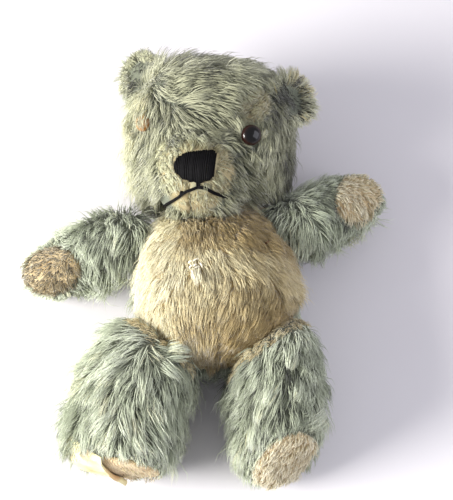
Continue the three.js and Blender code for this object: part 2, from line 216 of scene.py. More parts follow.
# Under the pile: its short dense foot, and the woven cotton backing where that is worn away.
SAGE_FOOT = [(0.3, "#5f6455"), (0.7, "#7d8270")]
CREAM_FOOT = [(0.3, "#a18855"), (0.7, "#cbb685")]
TAN_FOOT = [(0.3, "#a08a62"), (0.7, "#c9b68e")]
BARE_COTTON = [(0.25, "#a3936e"), (0.5, "#c0b58e"), (0.8, "#dad4b0")]
BARE_PAD = [(0.25, "#c0a47e"), (0.5, "#e2cfa8"), (0.8, "#f4ead0")]

sage_ground = ground_material("sage_plush_ground", SAGE_FOOT, BARE_COTTON, 1.1 * MM, AS_HEAD)
cream_ground = ground_material("cream_plush_ground", CREAM_FOOT, BARE_COTTON, 1.1 * MM, (0.0, 0.0, 0.0))
pad_ground = ground_material("worn_pad_cloth", TAN_FOOT, BARE_PAD, 1.3 * MM, (0.3, 0.0, 0.5))
# Kapok is dull and matted. Cotton thread is matt too, so neither shows a highlight.
kapok = plain_cloth("packed_kapok", [(0.3, "#b9aa84"), (0.7, "#ddd0ac")], 60.0, 1.0, 0.002)
floss = plain_cloth("black_cotton_floss", [(0.3, "#040404"), (0.7, "#0f0e11")], 400.0, 0.7, 0.0003)
seam_thread = plain_cloth("brown_seam_thread", [(0.3, "#2a211c"), (0.7, "#4a3a30")], 300.0, 0.8, 0.0003)
white_thread = plain_cloth("white_darning_cotton", [(0.3, "#efe6cb"), (0.7, "#fffdf0")], 300.0, 0.8, 0.0003)
red_lint = plain_cloth("dark_red_lint", [(0.3, "#4a1512"), (0.7, "#6e231c")], 300.0, 0.9, 0.0003)


def patch_finish():
    """Plain-woven cotton, once yellow and now faded, with brown stains soaked in."""
    def build(tree):
        place = add(tree, "TexCoord")
        local = add(tree, "Mapping", {"Vector": place.outputs["Object"],
                                      "Rotation": (math.pi / 2, 0.0, 0.1)})
        threads = weave(tree, local.outputs["Vector"], 0.9 * MM, 0.0015)
        stain = add(tree, "TexNoise", {"Vector": place.outputs["Object"], "Scale": SOAKED, "Detail": 3.0})
        dye = add(tree, "ValToRGB", {"Fac": stain.outputs["Fac"]},
                  stops=[(0.34, "#dcb98c"), (0.48, "#eddfae"), (0.6, "#f3eec4")])
        gaps = add(tree, "ValToRGB", {"Fac": threads.outputs["Result"]},
                   stops=[(0.0, "#c9bfa0"), (0.6, "#ffffff")])
        cloth = add(tree, "Mix", {0: 0.6, 6: dye.outputs["Color"], 7: gaps.outputs["Color"]},
                    data_type="RGBA", blend_type="MULTIPLY")
        bump = add(tree, "Bump", {"Height": threads.outputs["Result"], "Strength": 0.4, "Distance": 0.0003})
        return {"Base Color": cloth.outputs[2], "Normal": bump.outputs["Normal"]}
    return finish_of("yellow_patch_cotton", {"Roughness": 0.9, "Specular IOR Level": 0.25}, build)


patch_cotton = patch_finish()


# ---- Stuffed forms ------------------------------------------------------------------------
def coords(mesh):
    flat = np.empty(len(mesh.vertices) * 3)
    mesh.vertices.foreach_get("co", flat)
    return flat.reshape(-1, 3)


def set_coords(mesh, points):
    mesh.vertices.foreach_set("co", np.asarray(points, float).ravel())
    mesh.update()


def mesh_from(bm, name):
    mesh = bpy.data.meshes.new(name)
    bm.to_mesh(mesh)
    bm.free()
    return mesh


def object_of(name, mesh):
    piece = bpy.data.objects.new(name, mesh)
    bpy.context.scene.collection.objects.link(piece)
    return piece


def seen_mesh(piece):
    """A new mesh of a piece as its modifiers leave it, or of a curve as its bevel does."""
    bpy.context.view_layer.update()
    seen = piece.evaluated_get(bpy.context.evaluated_depsgraph_get())
    return bpy.data.meshes.new_from_object(seen)


def applied(piece):
    """Makes a piece's modifiers part of its mesh, and returns the mesh."""
    mesh = seen_mesh(piece)
    piece.modifiers.clear()
    old, piece.data = piece.data, mesh
    bpy.data.meshes.remove(old)
    return mesh


def outer_shell(mesh):
    """Keeps the largest closed body of a mesh, which drops what remeshing left inside."""
    bm = bmesh.new()
    bm.from_mesh(mesh)
    unseen, best = set(bm.verts), []
    while unseen:
        start = unseen.pop()
        body, edge = [start], [start]
        while edge:
            for link in edge.pop().link_edges:
                for other in link.verts:
                    if other in unseen:
                        unseen.discard(other)
                        body.append(other)
                        edge.append(other)
        if len(body) > len(best):
            best = body
    kept = set(best)
    bmesh.ops.delete(bm, geom=[v for v in bm.verts if v not in kept], context="VERTS")
    bm.to_mesh(mesh)
    bm.free()


def remeshed(name, nodes, voxel):
    """One closed form round several CAD solids."""
    bm = bmesh.new()
    for node in nodes:
        bm.from_mesh(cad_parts[node].data)
    bmesh.ops.remove_doubles(bm, verts=bm.verts, dist=1e-6)
    piece = object_of(name, mesh_from(bm, name))
    remesh = piece.modifiers.new("remesh", "REMESH")
    remesh.mode = "VOXEL"
    remesh.voxel_size = voxel
    outer_shell(applied(piece))
    return piece


SLACK = 1.0 * MM         # how far the cloth starts inside the form before it is filled
PRESSURE = 4.0
SETTLED = 20             # frames until the filled cloth is still
SWELL_CAP = 3.0 * MM     # no point moves further than this


def inflated(piece):
    """Swells a stuffed form as its packing does, moving no point further than the cap."""
    rest = coords(piece.data)
    normals = np.array([v.normal for v in piece.data.vertices])
    rest -= normals * SLACK
    set_coords(piece.data, rest)
    cloth = piece.modifiers.new("cloth", "CLOTH")
    cloth.settings.use_pressure = True
    cloth.settings.uniform_pressure_force = PRESSURE
    cloth.settings.effector_weights.gravity = 0.0
    scene = bpy.context.scene
    for step in range(1, SETTLED + 1):
        scene.frame_set(step)
    seen = piece.evaluated_get(bpy.context.evaluated_depsgraph_get())
    moved = coords(seen.data).copy()
    piece.modifiers.clear()
    scene.frame_set(1)
    shift = moved - rest
    far = np.linalg.norm(shift, axis=1, keepdims=True)
    shift *= np.minimum(1.0, SWELL_CAP / np.maximum(far, 1e-9))
    set_coords(piece.data, rest + shift)


def lumped(piece, height, size):
    """Lumps of packed fibre felt through the cloth; what rests on the floor stays flat."""
    points = coords(piece.data)
    normals = np.array([v.normal for v in piece.data.vertices])
    for i, p in enumerate(points):
        points[i] += normals[i] * height * noise.noise(Vector(p) / size)
    points[:, 2] = np.maximum(points[:, 2], 0.0)
    set_coords(piece.data, points)


def subdivided(piece):
    smooth = piece.modifiers.new("smooth", "SUBSURF")
    smooth.levels = smooth.render_levels = 1
    applied(piece)


REGIONS = {
    "head": ["head_gusset", "head_side_left", "head_side_right"],
    "body": ["body_front_left", "body_front_right", "body_back_left", "body_back_right"],
    "arm_left": ["arm_left_front", "arm_left_back", "paw_pad_left"],
    "arm_right": ["arm_right_front", "arm_right_back", "paw_pad_right"],
    "leg_left": ["leg_left_inner", "leg_left_outer", "foot_pad_left"],
    "leg_right": ["leg_right_inner", "leg_right_outer", "foot_pad_right"],
    "ear_left": ["ear_left_front", "ear_left_back"],
    "ear_right": ["ear_right_front", "ear_right_back"],
}


def tree_of(mesh):
    return BVHTree.FromPolygons([v.co for v in mesh.vertices], [p.vertices[:] for p in mesh.polygons])


def node_tree(node):
    """tree_of one CAD piece."""
    return tree_of(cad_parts[node].data)


EAR_MESH, BODY_MESH = 2.5 * MM, 4.0 * MM       # voxel sizes
EAR_LUMPS, BODY_LUMPS = 0.3 * MM, 1.3 * MM     # heights
LUMP_SIZE = 17 * MM


def make_form(region):
    """The outer surface of one region, before it is cut into its panels. An ear isn't stuffed."""
    if region.startswith("ear"):
        piece = remeshed("form_" + region, REGIONS[region], EAR_MESH)
        subdivided(piece)
        lumped(piece, EAR_LUMPS, LUMP_SIZE)
    else:
        piece = remeshed("form_" + region, [*REGIONS[region], "stuffing_" + region], BODY_MESH)
        inflated(piece)
        subdivided(piece)
        lumped(piece, BODY_LUMPS, LUMP_SIZE)
    return piece


# ---- Panels cut from the forms ------------------------------------------------------------
# Where the face has lost its pile, round the muzzle and above the left eye: middle and radius in mm,
# and how completely.
BARE_SPOTS = [
    ((-29, 66, 88), 9, 1.0),
    ((-25, 52, 96), 12, 1.0),
    ((-22, 40, 94), 12, 1.0),
    ((-16, 31, 92), 12, 1.0),
    ((-14, 25, 84), 11, 1.0),
    ((-5, 24, 87), 12, 1.0),
    ((4, 25, 89), 10, 1.0),
    ((-11, 21, 77), 9, 0.9),
    ((0, 21, 77), 9, 0.8),
    ((-10, 56, 102), 11, 1.0),
    ((3, 58, 102), 10, 1.0),
    ((13, 52, 100), 10, 1.0),
    ((17, 43, 97), 11, 1.0),
    ((13, 34, 95), 10, 1.0),
    ((-1, 44, 103), 17, 1.0),
    ((33, 88, 101), 12, 0.88),
    ((41, 97, 99), 12, 0.88),
]


def bare_share(point):
    """How far the pile is worn off the face at a point, from 0 to 1."""
    found = 0.0
    for (x, y, z), radius, strength in BARE_SPOTS:
        away = (Vector((x, y, z)) * MM - point).length / (radius * MM)
        if away < 1:
            found = max(found, strength * min(1.0, 2.2 * (1 - away)))
    return found


def cut_panels(region, form):
    """Sorts the form's faces by the CAD panel they lie on: the bmesh, and its vertices on the seams."""
    names = REGIONS[region]
    trees = [node_tree(n) for n in names]
    bm = bmesh.new()
    bm.from_mesh(form.data)
    surface = tree_of(form.data)
    kind = bm.faces.layers.int.new("panel")
    for face in bm.faces:
        middle = face.calc_center_median()
        face[kind] = min(range(len(trees)), key=lambda i: trees[i].find_nearest(middle)[3])
    seam = [v for v in bm.verts if len({f[kind] for f in v.link_faces}) > 1]
    on_seam = set(seam)
    for _ in range(8):
        moved = {}
        for v in seam:
            beside = [e.other_vert(v).co for e in v.link_edges
                      if e.other_vert(v) in on_seam and len({f[kind] for f in e.link_faces}) > 1]
            if len(beside) == 2:
                moved[v] = v.co.lerp((beside[0] + beside[1]) / 2, 0.6)
        for v, co in moved.items():
            v.co = surface.find_nearest(co)[0]
    bm.normal_update()
    return bm, on_seam


GROOVE = 1.6 * MM        # how far a seam is pulled into the stuffing
GROOVE_FALL = (1.0, 0.45, 0.12)   # share of that at the seam and at the next two rows of points
SKIN = 1.0 * MM          # thickness of the plush ground
# How bare each pad's cloth is worn, from 0 to 1.
PAD_BARE = {"cloth_paw_pad_left": 0.6, "cloth_paw_pad_right": 0.3,
            "cloth_foot_pad_left": 0.7, "cloth_foot_pad_right": 1.0}


def make_panel(name, bm, index, on_seam, material):
    """One sewn panel: its faces of the form, with its edge pulled in at the seam."""
    near = {v: 0 for v in on_seam}
    ring = set(on_seam)
    for row in (1, 2):
        ring = {e.other_vert(v) for v in ring for e in v.link_edges} - set(near)
        near.update({v: row for v in ring})
    sink = {v.index: GROOVE * GROOVE_FALL[row] for v, row in near.items()}
    part = bm.copy()
    part.verts.ensure_lookup_table()
    layer = part.faces.layers.int["panel"]
    for i, depth in sink.items():
        v = part.verts[i]
        v.co -= v.normal * depth
    bmesh.ops.delete(part, geom=[f for f in part.faces if f[layer] != index], context="FACES")
    for v in part.verts:
        v.co.z = max(v.co.z, 0.0)
    mesh = mesh_from(part, name)
    mesh.shade_smooth()
    bare = mesh.attributes.new("bare", "FLOAT", "POINT")
    worn = "_head_" in name
    values = [bare_share(v.co) if worn else PAD_BARE.get(name, 0.0) for v in mesh.vertices]
    bare.data.foreach_set("value", values)
    piece = object_of(name, mesh)
    mesh.materials.append(material)
    return piece


def hold(piece, slot, *nodes):
    """Fixes a piece to the one body, in place of the CAD nodes that it stands for. The slot argument is not
    used.
    """
    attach(piece, "root")
    if nodes:
        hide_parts(*nodes)
    return piece


# Each ear in the head's frame: middle in mm, turns in degrees.
EARS = {
    "ear_left": ((56, 34, 8), (-22, 48, -52)),
    "ear_right": ((-56, 45, -2), (-12, -28, 52)),
}
EAR_HALF = (18.0, 20.0)  # half width and half height, mm
CUP = 8.0                # depth of an ear's hollow, mm


def ear_frame(ear):
    at, turn = EARS[ear]
    x, y, z = (Matrix.Rotation(math.radians(a), 4, axis) for a, axis in zip(turn, "XYZ"))
    return HEAD_FRAME @ Matrix.Translation(Vector(at) * MM) @ x @ y @ z


def ear_depth(ear, points):
    """1 in the middle of the ear, falling to 0 at its rim and below 0 outside it."""
    back = np.array(ear_frame(ear).inverted())
    local = (np.asarray(points) @ back[:3, :3].T + back[:3, 3]) / MM
    return 1.0 - (local[:, 0] / EAR_HALF[0]) ** 2 - (local[:, 1] / EAR_HALF[1]) ** 2


def cupped(mesh, ear):
    """Sets the middle of an ear back from its rim."""
    points = coords(mesh)
    away = np.array(ear_frame(ear).to_3x3() @ Vector((0, 0, 1)))
    depth = np.maximum(ear_depth(ear, points), 0.0)
    set_coords(mesh, points - away * (CUP * MM * depth)[:, None])


forms, panels = {}, {}
for region, names in REGIONS.items():
    form = make_form(region)
    forms[region] = form
    bm, on_seam = cut_panels(region, form)
    bm.verts.index_update()
    for index, name in enumerate(names):
        pad = "pad" in name
        cream = name.startswith("body_front")
        material = pad_ground if pad else cream_ground if cream else sage_ground
        slot = "worn_pad_cloth" if pad else "cream_mohair" if cream else "sage_mohair"
        piece = make_panel(("cloth_" if pad else "plush_") + name, bm, index, on_seam, material)
        if region in EARS:
            cupped(piece.data, region)
        panels[name] = (piece, slot)
    bm.free()


# ---- Face ---------------------------------------------------------------------------------
face_tree = tree_of(forms["head"].data)
INTO_FACE = -(HEAD_TURN @ Vector((0, 0, 1)))


def on_head(x, y, lift):
    """The point of the face at x, y of the head in mm, raised off the cloth by lift."""
    start = HEAD_FRAME @ (Vector((x, y, 150.0)) * MM)
    at, normal, _, _ = face_tree.ray_cast(start, INTO_FACE)
    return at + normal * lift * MM


def as_head(points):
    """Points in the head's own frame, in mm."""
    return (np.asarray(points) - np.array(HEAD_AT)) @ np.array(HEAD_TURN) / MM


def threads(name, lines, radius, material, slot, *nodes):
    """Round threads along lines, closed at both ends, as one piece."""
    curve = bpy.data.curves.new(name, "CURVE")
    curve.dimensions = "3D"
    curve.bevel_depth = radius * MM
    curve.bevel_resolution = 1
    curve.use_fill_caps = True
    for line in lines:
        spline = curve.splines.new("POLY")
        spline.points.add(len(line) - 1)
        for point, co in zip(spline.points, line):
            point.co = (*co, 1.0)
    piece = object_of(name + "_path", curve)
    mesh = seen_mesh(piece)
    bpy.data.objects.remove(piece)
    mesh.name = name
    mesh.materials.clear()
    mesh.materials.append(material)
    mesh.shade_smooth()
    return hold(object_of(name, mesh), slot, *nodes)


# Outline of the satin-stitched nose in the head's frame, mm: across, its top edge and its lower edge.
NOSE_ACROSS = (-11.4, -9.5, -5.0, -1.0, 6.0, 13.2, 15.0, 15.8)
NOSE_TOP = (-16.5, -12.4, -10.0, -9.0, -7.6, -6.8, -8.0, -10.0)
NOSE_LOW = (-20.5, -23.4, -26.4, -27.6, -28.4, -26.2, -24.2, -21.5)
STITCH_STEP = 1.05
TUCK = -0.8              # how far the ends of a stitch go under the cloth, mm


def nose_lines():
    """One line for each satin stitch, side by side and proud of the cloth in the middle."""
    lines = []
    x = NOSE_ACROSS[0] + 0.3
    while x < NOSE_ACROSS[-1]:
        top = float(np.interp(x, NOSE_ACROSS, NOSE_TOP)) + float(draw.uniform(-0.35, 0.35))
        low = float(np.interp(x, NOSE_ACROSS, NOSE_LOW)) + float(draw.uniform(-0.35, 0.35))
        crown = 1.0 - ((x - 2.2) / 14.0) ** 2
        line = []
        for t in np.linspace(0.0, 1.0, 9):
            proud = 0.5 + 1.6 * max(crown, 0.0) ** 0.5 * math.sin(math.pi * min(max(t, 0.06), 0.94)) ** 0.5
            line.append(on_head(x + 0.25 * math.sin(7 * x), top + (low - top) * t, proud))
        lines.append([on_head(x, top + 0.3, TUCK), *line, on_head(x, low - 0.3, TUCK)])
        x += STITCH_STEP
    return lines


def along_head(points, lift, samples=8):
    """A line on the face through points of the head's frame, with its ends tucked into the cloth."""
    steps = np.linspace(0.0, len(points) - 1.0, samples)
    xs = np.interp(steps, range(len(points)), [p[0] for p in points])
    ys = np.interp(steps, range(len(points)), [p[1] for p in points])
    line = [on_head(x, y, lift) for x, y in zip(xs, ys)]
    return [on_head(*points[0], TUCK), *line, on_head(*points[-1], TUCK)]


def beside(points, gap):
    return [(x + gap * 0.3, y + gap) for x, y in points]


MOUTH_DROP = [(5.2, -28.0), (5.6, -32.2)]
MOUTH_RIGHT = [(5.6, -31.6), (-2.4, -35.2), (-10.5, -41.0), (-21.0, -46.4)]
MOUTH_LEFT = [(5.6, -31.6), (10.5, -32.0), (16.0, -35.0), (21.5, -36.4), (27.3, -38.0)]

threads("nose_satin_stitches", nose_lines(), 0.66, floss, "black_floss", "nose_stitching")
mouth = [along_head([(x - 0.7, y) for x, y in MOUTH_DROP], 0.5, 4),
         along_head([(x + 0.7, y) for x, y in MOUTH_DROP], 0.5, 4)]
for arm in (MOUTH_RIGHT, MOUTH_LEFT):
    mouth += [along_head(beside(arm, 0.5), 1.1, 12), along_head(beside(arm, -0.55), 1.1, 12)]
threads("mouth_threads", mouth, 0.62, floss, "black_floss", "mouth_stitching")
knot = [along_head([(-6.3, -36.6), (-5.0, -35.8)], 1.0, 3),
        along_head([(-6.2, -35.7), (-5.2, -36.7)], 0.8, 3)]
threads("loose_floss_knot", knot, 0.8, floss, "black_floss")

dashes = []
for t in np.arange(0.0, 1.0, 0.11):
    y = -37.0 - 14.0 * t
    dashes.append(along_head([(0.3, y), (0.1, y - 0.9)], 0.1, 3))
for t in np.arange(0.0, 1.0, 0.14):
    x, y = 33.4 + 7.7 * t, 22.2 + 11.3 * t
    dashes.append(along_head([(x, y), (x + 0.2, y + 0.3)], 0.5, 3))
threads("face_seam_stitches", dashes, 0.22, seam_thread, "black_floss")


# ---- Darn and lint on the belly -------------------------------------------------------------
belly_tree = tree_of(forms["body"].data)


def on_belly(x, y, lift):
    at, normal, _, _ = belly_tree.ray_cast(Vector((x * MM, y * MM, 0.3)), Vector((0, 0, -1)))
    return at + normal * lift * MM


def belly_stitch(x0, y0, x1, y1, top):
    """One stitch of the darn, from under the cloth, over the pile and back."""
    middle = [on_belly(x0 + (x1 - x0) * t, y0 + (y1 - y0) * t, top * (0.6 + math.sin(math.pi * t) * 0.4))
              for t in (0.05, 0.3, 0.6, 0.95)]
    return [on_belly(x0, y0, TUCK), *middle, on_belly(x1, y1, TUCK)]


DARN = [(-9.4, -19.4, -6.8, -18.4), (-6.4, -18.4, -2.6, -16.4), (-8.8, -23.6, -6.3, -22.2),
        (-5.8, -22.4, -4.0, -21.2), (-6.2, -25.2, -2.2, -23.2), (-1.6, -20.4, -0.2, -23.6)]
DARN_MIDDLE = (-5.5, -21.0)
threads("belly_darn", [belly_stitch(*ends, 2.2) for ends in DARN], 0.6, white_thread, "cream_mohair")
threads("red_lint", [belly_stitch(42.2, -0.6, 43.8, 0.8, 3.0)], 0.55, red_lint, "black_floss")


def glass(name, stops):
    """Blown glass, coloured from the middle of the eye out. Fire polish gives it one sharp highlight."""
    def build(tree):
        ring = add(tree, "Attribute", attribute_name="ring")
        colour = add(tree, "ValToRGB", {"Fac": ring.outputs["Fac"]}, stops=stops)
        return {"Base Color": colour.outputs["Color"]}
    return finish_of(name, {"Roughness": 0.3, "Coat Weight": 0.5, "Coat Roughness": 0.03,
                            "Specular IOR Level": 0.1}, build)


# An eye from the foot of its shank to the top of its dome: radius and height in mm.
EYE_PROFILE = [(0.0, -9.0), (1.0, -9.0), (1.0, 0.9), (5.6, 1.2), (6.5, 2.3), (6.3, 3.6), (5.3, 5.2),
               (3.6, 6.4), (1.8, 6.85), (0.0, 7.0)]
EYE_RADIUS, SHANK = 6.5, 9.0   # mm


def make_eye(name, node, material, width):
    """A turned eye on the axis of its CAD dome, with its wire shank."""
    points = np.array([v.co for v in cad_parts[node].data.vertices])
    centre = Vector(points.mean(axis=0))
    spread = points - points.mean(axis=0)
    _, _, axes = np.linalg.svd(spread, full_matrices=False)
    away = centre - HEAD_FRAME @ Vector((0, 0, 0))
    axis = min((Vector(a) for a in axes), key=lambda a: a.cross(away.normalized()).length)
    if axis.dot(away) < 0:
        axis = -axis
    reach = spread @ np.array(axis)
    foot = centre + axis * float(reach.min()) + axis * SHANK * MM
    bm = bmesh.new()
    line = [bm.verts.new((r * width * MM, 0.0, z * MM)) for r, z in EYE_PROFILE]
    edges = [bm.edges.new(pair) for pair in zip(line, line[1:])]
    bmesh.ops.spin(bm, geom=line + edges, cent=(0, 0, 0), axis=(0, 0, 1), angle=2 * math.pi,
                   steps=28, use_merge=True)
    bmesh.ops.remove_doubles(bm, verts=bm.verts, dist=1e-6)
    bmesh.ops.recalc_face_normals(bm, faces=bm.faces)
    ring = bm.verts.layers.float.new("ring")
    for v in bm.verts:
        v[ring] = math.hypot(v.co.x, v.co.y) / (EYE_RADIUS * width * MM)
    turn = axis.to_track_quat("Z", "Y").to_matrix().to_4x4()
    bmesh.ops.transform(bm, matrix=Matrix.Translation(foot) @ turn, verts=bm.verts)
    mesh = mesh_from(bm, name)
    mesh.shade_smooth()
    mesh.materials.append(material)
    return hold(object_of(name, mesh), "amber_glass", node)


# The left eye is the same amber glass as the right, with a black pupil; its iris is painted dark brown as
# painted shade, on the side away from the window.
shaded_eye_glass = glass("amber_glass_painted_shade", [(0.0, "#050505"), (0.6, "#0b090a"), (0.72, "#120b0a"),
                                        (0.84, "#22120d"), (0.94, "#2a110c"), (1.0, "#150907")])
amber_glass = glass("amber_glass", [(0.0, "#2b1a0e"), (0.2, "#6b4622"), (0.5, "#a5743a"), (1.0, "#84592a")])
make_eye("glass_eye_left", "eye_left", shaded_eye_glass, 1.12)
make_eye("glass_eye_right", "eye_right", amber_glass, 0.95)


# ---- The pile -----------------------------------------------------------------------------
# How the pile is combed: place, direction, length and lift, in mm.
COMB = {
    "head": [
        ((-30, 135, 75), (1.0, -0.2, 0.0), 16, 0.35),
        ((-3, 134, 88), (0.9, -0.35, 0.0), 15, 0.25),
        ((32, 125, 92), (0.8, -0.6, 0.0), 15, 0.4),
        ((-16, 103, 102), (1.0, -0.1, 0.0), 18, 0.3),
        ((11, 97, 106), (1.0, -0.35, 0.0), 18, 0.3),
        ((39, 96, 101), (0.7, -0.75, 0.0), 6, 0.35),
        ((26, 97, 104), (0.7, -0.75, 0.0), 9, 0.3),
        ((-45, 101, 78), (-0.2, -1.0, -0.2), 17, 0.4),
        ((-49, 77, 62), (-0.35, -1.0, -0.3), 16, 0.5),
        ((-32, 84, 94), (-0.5, -0.8, 0.0), 13, 0.4),
        ((-6, 75, 97), (0.7, -0.7, 0.0), 14, 0.45),
        ((-20, 66, 92), (0.7, -0.7, 0.0), 10, 0.6),
        ((15, 67, 96), (1.0, -0.5, 0.0), 10, 0.5),
        ((-38, 48, 72), (-0.8, -0.5, -0.4), 14, 0.5),
        ((-45, 60, 50), (-0.7, -0.6, -0.3), 15, 0.6),
        ((-27, 28, 66), (-0.4, -0.3, -0.9), 13, 0.5),
        ((-2, 22, 76), (0.2, -0.2, -1.0), 12, 0.5),
        ((18, 29, 76), (0.8, -0.3, -0.6), 13, 0.5),
        ((30, 45, 88), (0.9, -0.4, -0.2), 13, 0.4),
        ((47, 46, 50), (0.7, -0.5, -0.4), 14, 0.5),
        ((53, 83, 81), (-0.35, -0.9, -0.2), 15, 0.5),
        ((58, 72, 60), (-0.1, -0.9, -0.4), 14, 0.5),
        ((45, 62, 88), (-0.3, -1.0, 0.0), 14, 0.5),
        ((5, 147, 50), (0.3, 0.5, -0.8), 12, 0.5),
        ((5, 90, 3), (0.0, -1.0, 0.0), 10, 0.3),
        ((-50, 90, 30), (-0.3, -0.8, -0.4), 14, 0.5),
        ((60, 90, 30), (0.3, -0.8, -0.4), 14, 0.5),
    ],
    "body": [
        ((-38, 0, 70), (-0.6, -0.8, 0.0), 14, 0.27),
        ((-2, 13, 73), (0.1, -1.0, 0.0), 12, 0.27),
        ((25, 24, 67), (0.5, -0.9, 0.0), 12, 0.27),
        ((45, 0, 72), (0.7, -0.6, 0.0), 14, 0.27),
        ((-8, -17, 83), (0.1, -1.0, 0.0), 12, 0.2),
        ((30, -20, 84), (0.55, -0.8, 0.0), 13, 0.23),
        ((59, -20, 60), (0.8, -0.4, -0.3), 14, 0.5),
        ((-36, -41, 69), (-0.6, -0.7, -0.2), 13, 0.27),
        ((12, -48, 87), (-0.25, -1.0, 0.0), 14, 0.23),
        ((45, -45, 78), (-0.5, -0.9, 0.0), 15, 0.23),
        ((59, -50, 60), (-0.2, -0.9, -0.3), 14, 0.27),
        ((-20, -60, 76), (0.35, -0.9, -0.2), 14, 0.23),
        ((20, -68, 72), (-0.5, -0.9, -0.3), 15, 0.2),
        ((-2, -75, 60), (0.1, -0.6, -0.8), 13, 0.2),
        ((-44, -20, 25), (-0.2, -1.0, -0.3), 15, 0.5),
        ((65, -20, 25), (0.3, -0.9, -0.2), 15, 0.5),
        ((10, -20, 0), (0.0, -1.0, 0.0), 8, 0.1),
        ((5, -78, 25), (0.0, -0.7, -0.8), 13, 0.27),
    ],
    "arm_right": [
        ((-72, 30, 40), (-0.1, -1.0, 0.1), 13, 0.6),
        ((-100, 20, 30), (-0.5, 0.8, 0.0), 12, 0.6),
        ((-72, 14, 56), (0.0, -1.0, 0.0), 16, 0.4),
        ((-50, 12, 54), (0.1, -1.0, 0.0), 16, 0.4),
        ((-65, -8, 46), (0.15, -1.0, -0.3), 18, 0.4),
        ((-88, -18, 30), (0.5, -0.8, -0.3), 16, 0.5),
        ((-120, -5, 25), (-0.8, -0.5, -0.2), 12, 0.6),
        ((-80, 0, 3), (0.0, -1.0, 0.0), 9, 0.1),
    ],
    "arm_left": [
        ((75, 52, 49), (0.7, 0.55, 0.0), 12, 0.4),
        ((81, 32, 58), (0.5, -0.4, 0.0), 13, 0.4),
        ((96, 25, 49), (0.15, -1.0, -0.3), 17, 0.4),
        ((112, 32, 35), (0.3, -1.0, -0.3), 16, 0.5),
        ((128, 60, 25), (0.9, 0.0, -0.3), 12, 0.6),
        ((118, 78, 25), (0.3, 0.9, -0.2), 9, 0.6),
        ((60, 25, 50), (-0.2, -1.0, 0.0), 15, 0.4),
        ((95, 40, 3), (0.3, -1.0, 0.0), 9, 0.1),
    ],
    "leg_right": [
        ((-55, -75, 66), (-0.9, -0.45, 0.0), 17, 0.5),
        ((-35, -62, 66), (-0.8, -0.3, 0.0), 15, 0.5),
        ((-22, -75, 66), (0.8, -0.1, 0.0), 15, 0.6),
        ((-15, -85, 58), (0.2, -1.0, -0.2), 15, 0.5),
        ((-41, -95, 68), (-0.3, -1.0, 0.0), 17, 0.5),
        ((-70, -95, 58), (-0.7, -0.8, -0.1), 17, 0.5),
        ((-82, -105, 51), (-0.6, -0.8, -0.1), 17, 0.6),
        ((-60, -120, 66), (-0.35, -1.0, 0.0), 18, 0.4),
        ((-41, -125, 66), (0.3, -1.0, 0.0), 17, 0.4),
        ((-25, -115, 55), (0.1, -1.0, -0.2), 16, 0.5),
        ((-41, -142, 60), (0.4, -1.0, -0.1), 14, 0.4),
        ((-65, -142, 58), (0.1, -1.0, 0.0), 14, 0.4),
        ((-80, -135, 45), (-0.3, -1.0, -0.2), 15, 0.5),
        ((-20, -135, 40), (0.1, -0.9, -0.3), 15, 0.5),
        ((-50, -110, 2), (0.0, -1.0, 0.0), 9, 0.1),
    ],
    "leg_left": [
        ((51, -72, 70), (-0.35, -0.9, 0.0), 15, 0.4),
        ((65, -67, 64), (-0.25, -1.0, 0.0), 15, 0.4),
        ((31, -88, 63), (-0.3, -0.9, 0.0), 16, 0.4),
        ((60, -95, 66), (-0.45, -0.9, 0.0), 17, 0.5),
        ((44, -117, 67), (-0.3, -1.0, 0.0), 17, 0.45),
        ((71, -120, 55), (-0.1, -1.0, 0.0), 16, 0.5),
        ((78, -95, 45), (0.1, -1.0, 0.0), 15, 0.5),
        ((25, -110, 50), (-0.5, -0.8, -0.2), 16, 0.6),
        ((25, -140, 40), (-0.5, -0.9, -0.2), 15, 0.6),
        ((50, -135, 62), (-0.2, -1.0, 0.0), 13, 0.4),
        ((75, -138, 50), (0.1, -0.9, 0.0), 12, 0.5),
        ((55, -110, 2), (0.0, -1.0, 0.0), 9, 0.1),
    ],
    "muzzle": [
        ((-26, 55, 94), (0.1, -1.0, 0.0), 5, 0.3),
        ((-24, 38, 90), (0.4, -0.9, -0.2), 6, 0.35),
        ((-14, 25, 82), (0.35, -0.9, -0.5), 4, 0.25),
        ((0, 22, 80), (0.0, -0.8, -0.7), 3, 0.2),
        ((12, 26, 84), (0.6, -0.6, -0.5), 5, 0.3),
        ((17, 40, 96), (0.8, -0.4, -0.2), 4, 0.25),
        ((0, 58, 102), (0.2, 1.0, 0.0), 5, 0.35),
        ((-14, 58, 100), (-0.3, 0.8, 0.0), 5, 0.3),
        ((14, 54, 100), (0.5, 0.6, 0.0), 5, 0.3),
    ],
    "ear_right": [
        ((-60, 152, 70), (-0.4, 0.7, 0.3), 5, 0.8),
        ((-45, 140, 72), (0.1, -1.0, 0.2), 13, 0.4),
        ((-62, 130, 60), (-0.5, -0.8, 0.0), 10, 0.5),
    ],
    "ear_left": [
        ((72, 132, 88), (0.6, 0.7, 0.3), 10, 0.8),
        ((80, 112, 78), (0.9, 0.1, 0.0), 9, 0.7),
        ((64, 105, 88), (0.3, -0.8, 0.0), 5, 0.3),
    ],
}


def combed(region, points):
    """Direction, length and lift of the pile at each point, blended between the strokes."""
    strokes = COMB[region]
    at = np.array([s[0] for s in strokes]) * MM
    way = np.array([s[1] for s in strokes])
    way /= np.linalg.norm(way, axis=1, keepdims=True)
    rest = np.array([[s[2] * MM, s[3]] for s in strokes])
    away = np.linalg.norm(points[:, None, :] - at[None, :, :], axis=2)
    weight = 1.0 / (away + 3 * MM) ** 4
    weight /= weight.sum(axis=1, keepdims=True)
    return weight @ way, weight @ rest


def unit(a):
    return a / np.maximum(np.linalg.norm(a, axis=-1, keepdims=True), 1e-12)


